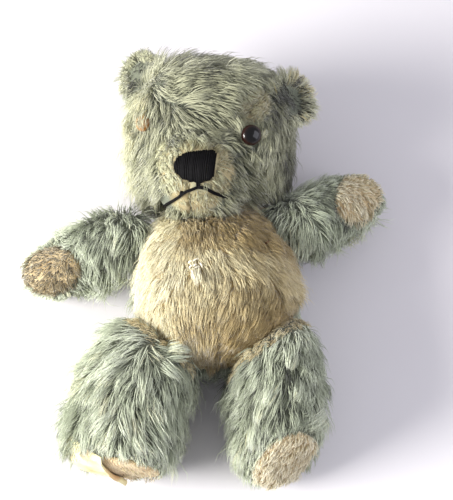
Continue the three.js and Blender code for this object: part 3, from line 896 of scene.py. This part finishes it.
def roots_on(mesh, density, keep):
    """Random places on a mesh with the normal there: area-weighted, thinned by keep(point)."""
    mesh.calc_loop_triangles()
    points = coords(mesh)
    normals = np.empty(len(mesh.vertices) * 3)
    mesh.vertices.foreach_get("normal", normals)
    normals = normals.reshape(-1, 3)
    corners = np.empty(len(mesh.loop_triangles) * 3, int)
    mesh.loop_triangles.foreach_get("vertices", corners)
    corners = corners.reshape(-1, 3)
    a, b, c = (points[corners[:, i]] for i in range(3))
    area = np.linalg.norm(np.cross(b - a, c - a), axis=1) / 2
    count = int(density * area.sum() / MM ** 2)
    chosen = draw.choice(len(area), count, p=area / area.sum())
    u, v = draw.random((2, count))
    flip = u + v > 1
    u[flip], v[flip] = 1 - u[flip], 1 - v[flip]
    w = 1 - u - v
    tri = corners[chosen]
    at = points[tri[:, 0]] * w[:, None] + points[tri[:, 1]] * u[:, None] + points[tri[:, 2]] * v[:, None]
    up = normals[tri[:, 0]] * w[:, None] + normals[tri[:, 1]] * u[:, None] + normals[tri[:, 2]] * v[:, None]
    share = keep(at)
    kept = draw.random(count) < share
    return at[kept], unit(up[kept])


STEPS = 3                # straight lengths in one hair
DROOP = 0.25             # how far a hair's own weight bends it down
FRIZZ = 0.25 * MM        # unevenness along a hair
SWIRL = 22 * MM          # distance over which the comb's direction wanders
TONES = 32               # tone strips in the pile's own map
STRAY = 0.045            # share of hairs that stand out of their lock
LOWEST, HIGHEST = 0.6 * MM, 118 * MM   # every hair stays between these heights


def grown(at, up, way, length, lift, droop):
    """The points along each hair, which leaves the cloth upward and bends over with the comb."""
    flat = unit(way - up * (way * up).sum(axis=1, keepdims=True))
    line = [at]
    for step in range(STEPS):
        t = (step + 0.5) / STEPS
        aim = up * (lift * (1.5 - 1.5 * t))[:, None] + flat * (0.45 + 0.55 * t)
        aim[:, 2] -= droop * t
        line.append(line[-1] + unit(aim) * (length / STEPS)[:, None])
    return np.stack(line, axis=1)


def swirl_noise(points, size, seed):
    return np.array([noise.noise(Vector(p) / size + Vector((seed, -seed, seed))) for p in points])


# What wears each region's pile short: the CAD piece, how far in mm, and the least share kept.
WORN_BY = {
    "arm_left": [("paw_pad_left", 13, 0.35)],
    "arm_right": [("paw_pad_right", 13, 0.35)],
    "leg_left": [("foot_pad_left", 13, 0.35), ("body_front_left", 11, 0.4)],
    "leg_right": [("foot_pad_right", 13, 0.35), ("body_front_right", 11, 0.4)],
    "body": [("leg_left_inner", 12, 0.3), ("leg_left_outer", 12, 0.3),
             ("leg_right_inner", 12, 0.3), ("leg_right_outer", 12, 0.3)],
}


def kept_length(panel, region, points):
    """Share of the full length: the pile is worn shorter where a limb meets its pad or the belly."""
    share = np.ones(len(points))
    if "pad" in panel or panel.startswith("body_back"):
        return share
    for node, within, least in WORN_BY.get(region, ()):
        tree = node_tree(node)
        away = np.array([tree.find_nearest(p)[3] for p in points]) / MM
        share = np.minimum(share, np.clip(away / within, least, 1.0))
    return share


def base_pile(panel, region, mesh, style, keep, tone_of):
    """Hairs of one panel gathered into locks: lines, cloth normals, radii and tones."""
    density, width, lock, stretch, wild = style
    at, up = roots_on(mesh, density, keep)
    guide_at, guide_up = roots_on(mesh, 1.0 / lock ** 2, keep)
    if len(at) == 0 or len(guide_at) == 0:
        return None
    way, rest = combed(region, guide_at)
    spin = wild * (draw.normal(0.0, 0.30, len(guide_at)) + 0.9 * swirl_noise(guide_at, SWIRL, 3.1))
    side = np.cross(guide_up, unit(way))
    way = unit(way) * np.cos(spin)[:, None] + side * np.sin(spin)[:, None]
    length = rest[:, 0] * stretch * np.clip(draw.normal(1.0, 0.2, len(guide_at)), 0.55, 1.5)
    length *= kept_length(panel, region, guide_at)
    lift = rest[:, 1] * np.clip(draw.normal(1.0, 0.25 * wild, len(guide_at)), 0.4, 1.8)
    guide = grown(guide_at, guide_up, way, length, lift, DROOP)
    guide_tone = tone_of(guide_at) + draw.normal(0.0, 0.11 * wild, len(guide_at))

    finder = KDTree(len(guide_at))
    for i, p in enumerate(guide_at):
        finder.insert(p, i)
    finder.balance()
    owner = np.array([finder.find(p)[1] for p in at])
    own_way, _ = combed(region, at)
    aim = unit(unit(own_way) * 0.35 + way[owner] * 0.65 + draw.normal(0.0, 0.10, (len(at), 3)))
    long = length[owner] * draw.uniform(0.7, 1.12, len(at))
    if region == "head":
        long *= 1.0 - 0.6 * np.array([bare_share(Vector(p)) for p in at])
    rise = lift[owner] * np.clip(draw.normal(1.0, 0.3, len(at)), 0.3, 2.0)
    stray = draw.random(len(at)) < STRAY
    long[stray] *= 1.15
    rise[stray] *= 1.8
    line = grown(at, up, aim, long, rise, DROOP)
    gather = draw.uniform(0.05, 0.35 + 0.35 * wild, len(at))
    gather[stray] = 0.0
    for k in range(1, STEPS + 1):
        pull = (gather * (k / STEPS) ** 1.3)[:, None]
        line[:, k] += (guide[owner, k] - line[:, k]) * pull
        line[:, k] += draw.normal(0.0, FRIZZ, (len(at), 3))
    tone = np.minimum(guide_tone[owner] + draw.normal(0.0, 0.07, len(at)), 0.9)
    radius = width * MM / 2 * draw.uniform(0.7, 1.3, len(at))
    return line, up, radius, tone


TUFT_DROOP = 0.15        # a gathered lock is stiffer than single hairs
TUFT_HAIR = 0.3 * MM     # half the width of one


def tuft(mesh, place, reach, count, way, length, lift, tone):
    """One listed lock: roots close round a place on a panel, tips drawn together."""
    def close(points):
        return np.linalg.norm(points - np.array(place) * MM, axis=1) < reach * MM
    at, up = roots_on(mesh, 3.0 * count / (math.pi * reach ** 2), close)
    at, up = at[:count], up[:count]
    if len(at) == 0:
        return None
    middle, normal = at.mean(axis=0, keepdims=True), unit(up.mean(axis=0, keepdims=True))
    way = unit(np.array([way], float))
    guide = grown(middle, normal, way, np.array([length * MM]), np.array([lift]), TUFT_DROOP)
    aim = unit(way + draw.normal(0.0, 0.08, (len(at), 3)))
    long = length * MM * draw.uniform(0.6, 1.1, len(at))
    line = grown(at, up, aim, long, lift * draw.uniform(0.7, 1.3, len(at)), TUFT_DROOP)
    gather = draw.uniform(0.3, 0.9, len(at))
    for k in range(1, STEPS + 1):
        line[:, k] += (guide[0, k] - line[:, k]) * (gather * (k / STEPS))[:, None]
        line[:, k] += draw.normal(0.0, FRIZZ, (len(at), 3))
    radius = TUFT_HAIR * draw.uniform(0.7, 1.3, len(at))
    return line, up, radius, tone + draw.normal(0.0, 0.07, len(at))


def make_pile(name, panel, region, mesh, material, slot, style, keep, tone_of):
    """The pile of one panel with its own listed locks, as one mesh of closed tapered hairs."""
    parts = [base_pile(panel, region, mesh, style, keep, tone_of)]
    parts += [tuft(mesh, *row[1:]) for row in TUFTS if row[0] == panel and name.startswith("pile")]
    parts = [part for part in parts if part]
    if parts:
        line, up, radius, tone = (np.concatenate([part[i] for part in parts]) for i in range(4))
        line[:, :, 2] = np.clip(line[:, :, 2], LOWEST, HIGHEST)
        pile_mesh(name, line, up, radius, np.clip(tone, 0.0, 0.999), material, slot)


FRINGE_LOCKS = 20        # round the whole rim of an ear
FRINGE_AT = 0.9          # share of the way out to the rim


def ear_fringe(ear, tone, longest):
    """Rows for the table of locks: fur that stands out round the rim of an ear."""
    turn = ear_frame(ear)
    rows = []
    for angle in np.arange(FRINGE_LOCKS) * (2 * math.pi / FRINGE_LOCKS):
        x, y = math.cos(angle), math.sin(angle)
        rim = turn @ (Vector((FRINGE_AT * EAR_HALF[0] * x, FRINGE_AT * EAR_HALF[1] * y, 0)) * MM)
        way = turn.to_3x3() @ Vector((x, y, 0.25))
        if way.dot((rim - HEAD_AT).normalized()) > 0.1:
            length = draw.uniform(0.6, 1.0) * longest
            rows.append((ear + "_front", tuple(rim / MM), 7, 45, tuple(way), length, 0.35,
                         tone - draw.uniform(0.0, 0.35)))
    return rows


# Locks that stand out from the rest: panel, place, reach of the roots in mm, hairs, direction,
# length in mm, lift, tone.
TUFTS = [
    ("head_side_right", (-56, 76, 48), 7, 110, (-0.8, 0.5, 0.3), 15, 0.9, 0.8),
    ("head_side_right", (-40, 92, 86), 7, 70, (0.1, -1.0, 0.25), 19, 1.0, 0.78),
    ("head_side_right", (-49, 84, 74), 6, 45, (0.5, -0.5, 0.5), 16, 1.0, 0.8),
    ("head_side_right", (-48, 98, 72), 7, 110, (-0.1, -1.0, 0.2), 24, 0.6, 0.82),
    ("head_gusset", (-24, 78, 92), 5, 60, (-0.6, -0.7, 0.4), 13, 0.9, 0.7),
    ("head_gusset", (22, 80, 100), 5, 40, (0.5, -0.9, 0.3), 15, 0.9, 0.5),
    ("head_side_left", (46, 54, 74), 4, 50, (-0.2, -1.0, 0.1), 8, 0.4, 0.985),
    ("head_side_left", (42, 76, 92), 4, 35, (-0.5, -0.8, 0.4), 12, 0.8, 0.8),
    ("ear_right_front", (-52, 136, 70), 7, 140, (0.15, -1.0, 0.1), 24, 0.5, 0.82),
    ("leg_right_inner", (-24, -72, 66), 7, 130, (0.9, -0.3, 0.2), 18, 0.7, 0.82),
    ("leg_left_inner", (28, -138, 34), 8, 130, (-0.5, -0.8, -0.3), 17, 0.6, 0.8),
    ("body_front_right", (-5, -24, 84), 3.5, 110, (0.15, -1.0, 0.0), 18, 0.3, 0.93),
    ("body_front_left", (2, -19, 84), 2.5, 80, (0.2, -1.0, 0.0), 17, 0.3, 0.93),
    ("arm_right_front", (-50, 4, 50), 6, 110, (0.1, -1.0, 0.25), 22, 0.4, 0.08),
]
# Bleached locks down the legs: leg, place, direction.
LEG_LOCKS = [
    ("leg_right", (-44, -132, 65), (0.45, -1.0, 0.1)),
    ("leg_right", (-52, -121, 67), (0.3, -1.0, 0.1)),
    ("leg_right", (-38, -92, 68), (-0.2, -1.0, 0.1)),
    ("leg_right", (-62, -100, 63), (-0.5, -0.9, 0.1)),
    ("leg_right", (-28, -84, 64), (0.6, -0.6, 0.1)),
    ("leg_right", (-72, -128, 55), (-0.1, -1.0, 0.1)),
    ("leg_left", (40, -112, 67), (-0.3, -1.0, 0.1)),
    ("leg_left", (48, -102, 68), (-0.4, -0.9, 0.1)),
    ("leg_left", (34, -126, 61), (-0.3, -1.0, 0.1)),
    ("leg_left", (62, -98, 65), (-0.4, -0.9, 0.1)),
    ("leg_left", (70, -126, 56), (0.8, 0.3, 0.3)),
    ("leg_left", (58, -76, 67), (-0.3, -1.0, 0.1)),
]
for leg, place, way in LEG_LOCKS:
    TUFTS += [(f"{leg}_{side}", place, 6, 60, way, 19, 0.5, 0.77) for side in ("inner", "outer")]
TUFTS += ear_fringe("ear_left", 0.95, 14) + ear_fringe("ear_right", 0.88, 8)


def pile_mesh(name, line, up, radius, tone, material, slot):
    """Three-sided hairs from the lines: three rings and a point each, closed at the root."""
    count = len(line)
    taper = (1.0, 0.9, 0.6)
    along = unit(line[:, -1] - line[:, 0])
    side = unit(np.cross(along, up))
    over = np.cross(along, side)
    rings = []
    for k in range(STEPS):
        for a in range(3):
            angle = 2 * math.pi * a / 3
            out = side * math.cos(angle) + over * math.sin(angle)
            rings.append(line[:, k] + out * (radius * taper[k])[:, None])
    rings.append(line[:, -1])
    points = np.stack(rings, axis=1)
    faces, strip = [], []
    tip = STEPS * 3
    for k in range(STEPS - 1):
        low, high = k / STEPS, (k + 1) / STEPS
        for a in range(3):
            b = (a + 1) % 3
            faces += [(3 * k + a, 3 * k + b, 3 * k + 3 + b), (3 * k + a, 3 * k + 3 + b, 3 * k + 3 + a)]
            strip += [((0.1, low), (0.9, low), (0.9, high)), ((0.1, low), (0.9, high), (0.1, high))]
    last = STEPS - 1
    for a in range(3):
        faces.append((3 * last + a, 3 * last + (a + 1) % 3, tip))
        strip.append(((0.1, last / STEPS), (0.9, last / STEPS), (0.5, 1.0)))
    faces.append((0, 2, 1))
    strip.append(((0.1, 0.0), (0.9, 0.0), (0.5, 0.04)))
    faces = np.array(faces)
    every = (faces[None] + (np.arange(count) * points.shape[1])[:, None, None]).reshape(-1, 3)
    mesh = bpy.data.meshes.new(name)
    mesh.from_pydata(points.reshape(-1, 3), [], every)
    mesh.shade_smooth()
    layer = mesh.uv_layers.new(name="OFBake")
    strip = np.array(strip).reshape(-1, 2)
    tone_strip = np.floor(tone * TONES)
    u = (tone_strip[:, None] + strip[None, :, 0]) / TONES
    v = np.broadcast_to(0.01 + 0.98 * strip[None, :, 1], u.shape)
    layer.data.foreach_set("uv", np.stack([u, v], axis=-1).ravel())
    mesh.materials.append(material)
    hold(object_of(name, mesh), slot)


# ---- Where the pile stands, and its tone: bleaching, soil, painted light and painted shade ---
def everywhere(points):
    """Full pile, thinned where it lies on the floor."""
    return np.where(points[:, 2] < 2 * MM, 0.25, 1.0)


EYE_LEFT_XY = (34.5, 4.0)   # of the head's frame, mm


def near_line(points, line):
    """Distance in mm from each x, y of the head's frame to a broken line."""
    best = np.full(len(points), 1e9)
    for (ax, ay), (bx, by) in zip(line, line[1:]):
        start, run = np.array((ax, ay)), np.array((bx - ax, by - ay))
        t = np.clip((points - start) @ run / (run @ run), 0.0, 1.0)[:, None]
        best = np.minimum(best, np.linalg.norm(points - start - t * run, axis=1))
    return best


def clear_of_features(points, margin):
    """0 over the eye, nose and mouth stitches and 1 elsewhere, with a margin in mm."""
    share = np.ones(len(points))
    local = as_head(points)
    flat, front = local[:, :2], local[:, 2] > 25
    share[front & (np.linalg.norm(flat - EYE_LEFT_XY, axis=1) < 6.0)] = 0.0
    top = np.interp(flat[:, 0], NOSE_ACROSS, NOSE_TOP) + margin
    low = np.interp(flat[:, 0], NOSE_ACROSS, NOSE_LOW) - 1.0
    inside = (flat[:, 0] > NOSE_ACROSS[0] - margin) & (flat[:, 0] < NOSE_ACROSS[-1] + 1)
    share[front & inside & (flat[:, 1] < top) & (flat[:, 1] > low)] = 0.0
    above = [(x, y + 2.0) for x, y in MOUTH_RIGHT]
    mouth_gap = np.minimum(near_line(flat, above) - 1.6, near_line(flat, MOUTH_LEFT[:3]))
    share[front & (np.minimum(mouth_gap, near_line(flat, MOUTH_DROP)) < 2.0)] = 0.0
    return share


def muzzle_wear(points):
    """bare_share for an array of points."""
    return np.array([bare_share(Vector(p)) for p in points])


def on_face(points):
    """Full pile, gone on the worn muzzle and over the eye, nose and mouth."""
    return everywhere(points) * clear_of_features(points, 7.0) * (1.0 - 0.92 * muzzle_wear(points))


# Places worn down to the weave: middle and radius in mm.
THREADBARE = [((-9, 23, 82), 10), ((-14, 30, 92), 7), ((18, 42, 96), 9), ((6, 25, 84), 6)]


def on_muzzle(points):
    """Rubbed short pile on the worn muzzle, with a few places worn down to the weave."""
    share = muzzle_wear(points) * clear_of_features(points, 1.0)
    for place, radius in THREADBARE:
        away = np.linalg.norm(points - np.array(place) * MM, axis=1) / (radius * MM)
        share *= np.clip(1.6 * away - 0.75, 0.03, 1.0)
    return share


def sage_tone(points):
    """Patchy dye on the limbs and back, and never quite bleached."""
    tone = 0.5 + 0.6 * swirl_noise(points, 30 * MM, 1.7) + 0.25 * swirl_noise(points, 9 * MM, 8.2)
    return np.clip(tone, 0.15, 0.78)


# Painted shade: head_tone paints the pile near black round this fold.
EAR_HOLLOW = (55, 113, 90)   # where the left ear's shaded fold meets the head


def head_tone(points):
    """Paler on the right temple, the side of the head towards the window: painted light. Near black in the
    fold where the left ear meets the head: painted shade.
    """
    tone = 0.34 + 0.35 * swirl_noise(points, 30 * MM, 1.7) + 0.2 * swirl_noise(points, 9 * MM, 8.2)
    # Painted light: the pile is paler on the side of the head towards the window.
    tone += 0.36 * np.clip((-points[:, 0] / MM - 27) / 14, 0.0, 1.0)
    # Painted shade: near black in the fold where the left ear meets the head.
    hollow = np.linalg.norm(points - np.array(EAR_HOLLOW) * MM, axis=1) / (6 * MM)
    return np.minimum(tone, 0.8) - 1.3 * np.clip(1.7 - hollow, 0.0, 1.0)


# The fold of the belly above the left leg, where the pile is painted darker as painted shade; x and y in
# mm.
SHADED_FOLD = [(12.0, -78.0), (38.0, -60.0), (62.0, -42.0)]


def cream_tone(points):
    """Paler on the right side, which faces the window, and darker on the left: painted light and shade.
    Golden under the chin and in the fold above the left leg: painted shade. Darker towards the bottom of
    the belly, except on its right side.
    """
    x, y = points[:, 0] / MM, points[:, 1] / MM
    tone = 0.68 + 0.16 * swirl_noise(points, 28 * MM, 2.9) + 0.14 * swirl_noise(points, 8 * MM, 5.5)
    # Painted light and shade: paler on the right side, towards the window, darker on the left, away from
    # it.
    side = 0.011 * np.clip(-x, 0.0, 32.0) - 0.008 * np.clip(x, 0.0, 40.0)
    # Painted shade under the chin.
    chin = np.clip((y + 12) / 18, 0.0, 1.0) * np.clip((x + 22) / 16, 0.0, 1.0)
    # Painted shade in the fold above the left leg.
    fold = np.clip(1.0 - np.abs(near_line(points[:, :2] / MM, SHADED_FOLD)) / 9, 0.0, 1.0)
    low = np.clip((-32 - y) / 30, 0.0, 1.0) * np.clip((x + 32) / 20, 0.0, 1.0)
    return tone + side - 0.6 * chin - 0.45 * fold - 0.5 * low


HIP_STRIP = 9.0          # how far the cream strip runs from the belly, mm
belly_panels = [node_tree(n) for n in ("body_front_left", "body_front_right")]


def on_hip(points):
    """The strip of a leg, on its upper side, that the belly's cream cloth comes over."""
    away = np.array([min(tree.find_nearest(p)[3] for tree in belly_panels) for p in points]) / MM
    return np.where(points[:, 2] > 40 * MM, np.clip((HIP_STRIP - away) / 2, 0.0, 1.0), 0.0)


def on_leg(points):
    """The pile of a leg, which leaves out the strip where the belly cloth comes over the hip."""
    return everywhere(points) * (1.0 - 0.9 * on_hip(points))


def hip_tone(points):
    """Soiled cream."""
    return 0.42 + 0.3 * swirl_noise(points, 9 * MM, 5.5)


def on_belly_cloth(points):
    """Belly pile, thinned round the darn."""
    away = np.linalg.norm(points[:, :2] / MM - DARN_MIDDLE, axis=1)
    return everywhere(points) * np.where((away < 5.5) & (points[:, 2] > 50 * MM), 0.35, 1.0)


SOLE_AT = Vector((-75.5, -149.0, 32.5)) * MM   # the middle of the patch, on the right sole
PATCH_HALF = (19.0, 25.0)                      # half its width and half its height, mm


def on_patched_pad(points):
    """Sparse pile on the old pad of the right foot, and none under the patch."""
    away = (points - np.array(SOLE_AT)) / MM
    under = (np.abs(away[:, 0]) < PATCH_HALF[0] + 1) & (np.abs(away[:, 2]) < PATCH_HALF[1] + 1)
    return np.where(under, 0.0, 0.12) * everywhere(points)


def pad_tone(points):
    """The right paw is the more soiled of the two."""
    level = np.where(points[:, 0] < 0, -0.25, 0.85)
    return level + 0.45 * swirl_noise(points, 14 * MM, 2.9) + 0.3 * swirl_noise(points, 6 * MM, 5.5)


def foot_tone(points):
    """The left foot's pad is the paler of the two."""
    level = np.where(points[:, 0] < 0, 0.45, 0.95)
    return level + 0.5 * swirl_noise(points, 14 * MM, 2.9) + 0.3 * swirl_noise(points, 6 * MM, 5.5)


def ear_tone(ear):
    """Darker towards the hollow of the ear: painted shade."""
    def tone_of(points):
        depth = ear_depth(ear, points)
        return head_tone(points) - 1.5 * np.clip(depth, 0.0, 0.7)
    return tone_of


def in_ear(ear):
    """Sparse pile in the hollow of an ear."""
    def keep(points):
        return 1.0 - 0.7 * np.clip(2.0 * ear_depth(ear, points) - 0.4, 0.0, 1.0)
    return keep


# Density in hairs per square mm, width in mm, lock spacing in mm, share of the combed length, wildness.
SAGE_STYLE = (0.5, 0.56, 5.0, 1.05, 0.85)
CREAM_STYLE = (0.95, 0.42, 7.0, 0.85, 0.3)
EAR_STYLE = (0.6, 0.5, 4.0, 0.8, 0.8)
HEAD_STYLE = (0.52, 0.56, 5.5, 1.05, 0.6)
PAD_STYLE = (0.5, 0.55, 4.0, 0.4, 0.9)
SHORT_STYLE = (1.1, 0.42, 2.2, 1.0, 0.8)
HIP_STYLE = (0.8, 0.5, 4.0, 0.8, 0.5)

region_of = {name: region for region, names in REGIONS.items() for name in names}
for name, (piece, slot) in panels.items():
    region, mesh = region_of[name], piece.data
    finish = (sage_pile, slot, SAGE_STYLE, everywhere, sage_tone)
    if "pad" in name:
        keep = on_patched_pad if name == "foot_pad_right" else everywhere
        tone_of = pad_tone if name.startswith("paw") else foot_tone
        finish = (tan_pile, slot, PAD_STYLE, keep, tone_of)
    elif name.startswith("body_front"):
        finish = (cream_pile, slot, CREAM_STYLE, on_belly_cloth, cream_tone)
    elif region == "head":
        finish = (head_pile, slot, HEAD_STYLE, on_face, head_tone)
    elif region.startswith("leg"):
        finish = (sage_pile, slot, SAGE_STYLE, on_leg, sage_tone)
    elif region in EARS and name.endswith("front"):
        finish = (head_pile, slot, EAR_STYLE, in_ear(region), ear_tone(region))
    make_pile("pile_" + name, name, region, mesh, *finish)
    if region == "head":
        # The muzzle's short pile takes cream_tone, so it gets that function's painted light and painted
        # shade too.
        short = (short_pile, slot, SHORT_STYLE, on_muzzle, cream_tone)
        make_pile("short_" + name, name, "muzzle", mesh, *short)
    elif region.startswith("leg") and "pad" not in name:
        hip = (cream_pile, "cream_mohair", HIP_STYLE, on_hip, hip_tone)
        make_pile("hip_" + name, name, region, mesh, *hip)


# ---- The patch on the right foot ------------------------------------------------------------
ACROSS, UPWARD = 49, 31  # points in the patch's grid
CLIMB = 2 * PATCH_HALF[1] * MM / (UPWARD - 1)
PATCH_LIFT = 1.3 * MM    # off the cloth of the sole
PATCH_THICK = 0.8 * MM
CURL_RADIUS = 2.2 * MM   # of the fold along the patch's unsewn edge
CURL_TURN = math.radians(125)
foot_tree = tree_of(forms["leg_right"].data)


def walk(start, heading, steps, step):
    """Places on the foot at even steps of cloth from a start: (point, normal, heading) for each."""
    at, normal, _, _ = foot_tree.find_nearest(start)
    line = []
    for _ in range(steps + 1):
        heading = (heading - normal * heading.dot(normal)).normalized()
        line.append((at, normal, heading))
        at, normal, _, _ = foot_tree.find_nearest(at + heading * step)
    return line


def patch_row(middle, heading, v):
    """One row of the patch: laid on the foot, and folded back along its free edge."""
    half = (ACROSS - 1) // 2
    step = 2 * PATCH_HALF[0] * MM / (ACROSS - 1)
    left, right = walk(middle, -heading, half, step), walk(middle, heading, half, step)
    flat = [at + normal * PATCH_LIFT for at, normal, _ in left[:0:-1] + right]
    free = (4.5 - 1.2 * v / PATCH_HALF[1]) * MM
    edge = PATCH_HALF[0] * MM - free
    fold, normal, way = right[round(edge / step)]
    for k in range(half + 1):
        past = k * step - edge
        if past > 0:
            turn = min(past / CURL_RADIUS, CURL_TURN)
            rest = past - turn * CURL_RADIUS
            side = CURL_RADIUS * math.sin(turn) + rest * math.cos(turn)
            out = CURL_RADIUS * (1 - math.cos(turn)) + rest * math.sin(turn)
            flat[half + k] = fold + normal * (PATCH_LIFT + out) + way * side
    return flat


rise = walk(SOLE_AT, Vector((-0.4, 0, 1)), UPWARD // 2, CLIMB)
drop = walk(SOLE_AT, Vector((0.4, 0, -1)), UPWARD // 2, CLIMB)
spine = [(at, normal, -way) for at, normal, way in drop[:0:-1]] + rise
bm = bmesh.new()
grid = bmesh.ops.create_grid(bm, x_segments=ACROSS - 1, y_segments=UPWARD - 1, size=1.0)["verts"]
grid.sort(key=lambda corner: (round(corner.co.y, 4), corner.co.x))
rows = [grid[start:start + ACROSS] for start in range(0, len(grid), ACROSS)]
for row, (at, normal, way) in enumerate(spine):
    heading = way.cross(normal)
    if heading.x < 0:
        heading = -heading
    v = PATCH_HALF[1] * (2 * row / (UPWARD - 1) - 1)
    for corner, point in zip(rows[row], patch_row(at, heading, v)):
        corner.co = point
bm.normal_update()
bmesh.ops.smooth_vert(bm, verts=[v for row in rows[1:-1] for v in row[1:-1]], factor=0.5,
                      use_axis_x=True, use_axis_y=True, use_axis_z=True)
mesh = mesh_from(bm, "patch")
mesh.shade_smooth()
mesh.materials.append(patch_cotton)
patch = hold(object_of("foot_patch_cloth", mesh), "patch_cotton", "foot_patch_right")
solid = patch.modifiers.new("thickness", "SOLIDIFY")
solid.thickness = PATCH_THICK
solid.offset = 0.0


# ---- Panel thickness and packing ------------------------------------------------------------
KAPOK_MESH = 5.0 * MM    # voxel size

for name, (piece, slot) in panels.items():
    solid = piece.modifiers.new("thickness", "SOLIDIFY")
    solid.thickness = SKIN
    solid.offset = -1.0
    hold(piece, slot, name)

for region in REGIONS:
    if region.startswith("ear"):
        continue
    node = "stuffing_" + region
    packing = remeshed("kapok_" + region, [node], KAPOK_MESH)
    packing.data.shade_smooth()
    packing.data.materials.append(kapok)
    hold(packing, "kapok", node)

for form in forms.values():
    bpy.data.objects.remove(form)


# ---- Floor and light ----------------------------------------------------------------------
def area_light(name, at, towards, size, power, code):
    light = bpy.data.lights.new(name, "AREA")
    light.size = size
    light.energy = power
    light.color = linear(code)[:3]
    lamp = bpy.data.objects.new(name, light)
    lamp.location = at
    lamp.rotation_euler = (Vector(towards) - Vector(at)).to_track_quat("-Z", "Y").to_euler()
    bpy.context.scene.collection.objects.link(lamp)


bm = bmesh.new()
bmesh.ops.create_grid(bm, x_segments=1, y_segments=1, size=3.0)
mesh = mesh_from(bm, "floor")
floor = object_of("floor", mesh)
mesh.materials.append(plain_cloth("pale_floor", [(0.3, "#dddadf"), (0.7, "#e4e2e6")], 3.0, 0.9, 0.0))

area_light("window", (-1.62, -0.5, 0.72), (0.0, 0.0, 0.03), 0.9, 86.0, "#fffdf8")
area_light("fill", (1.3, -0.2, 0.75), (0.1, 0.0, 0.03), 1.2, 13.0, "#f4f4ff")
world = bpy.data.worlds.new("studio")
world.use_nodes = True
world.node_tree.nodes["Background"].inputs["Color"].default_value = linear("#f2f1f6")
world.node_tree.nodes["Background"].inputs["Strength"].default_value = 0.56
bpy.context.scene.world = world
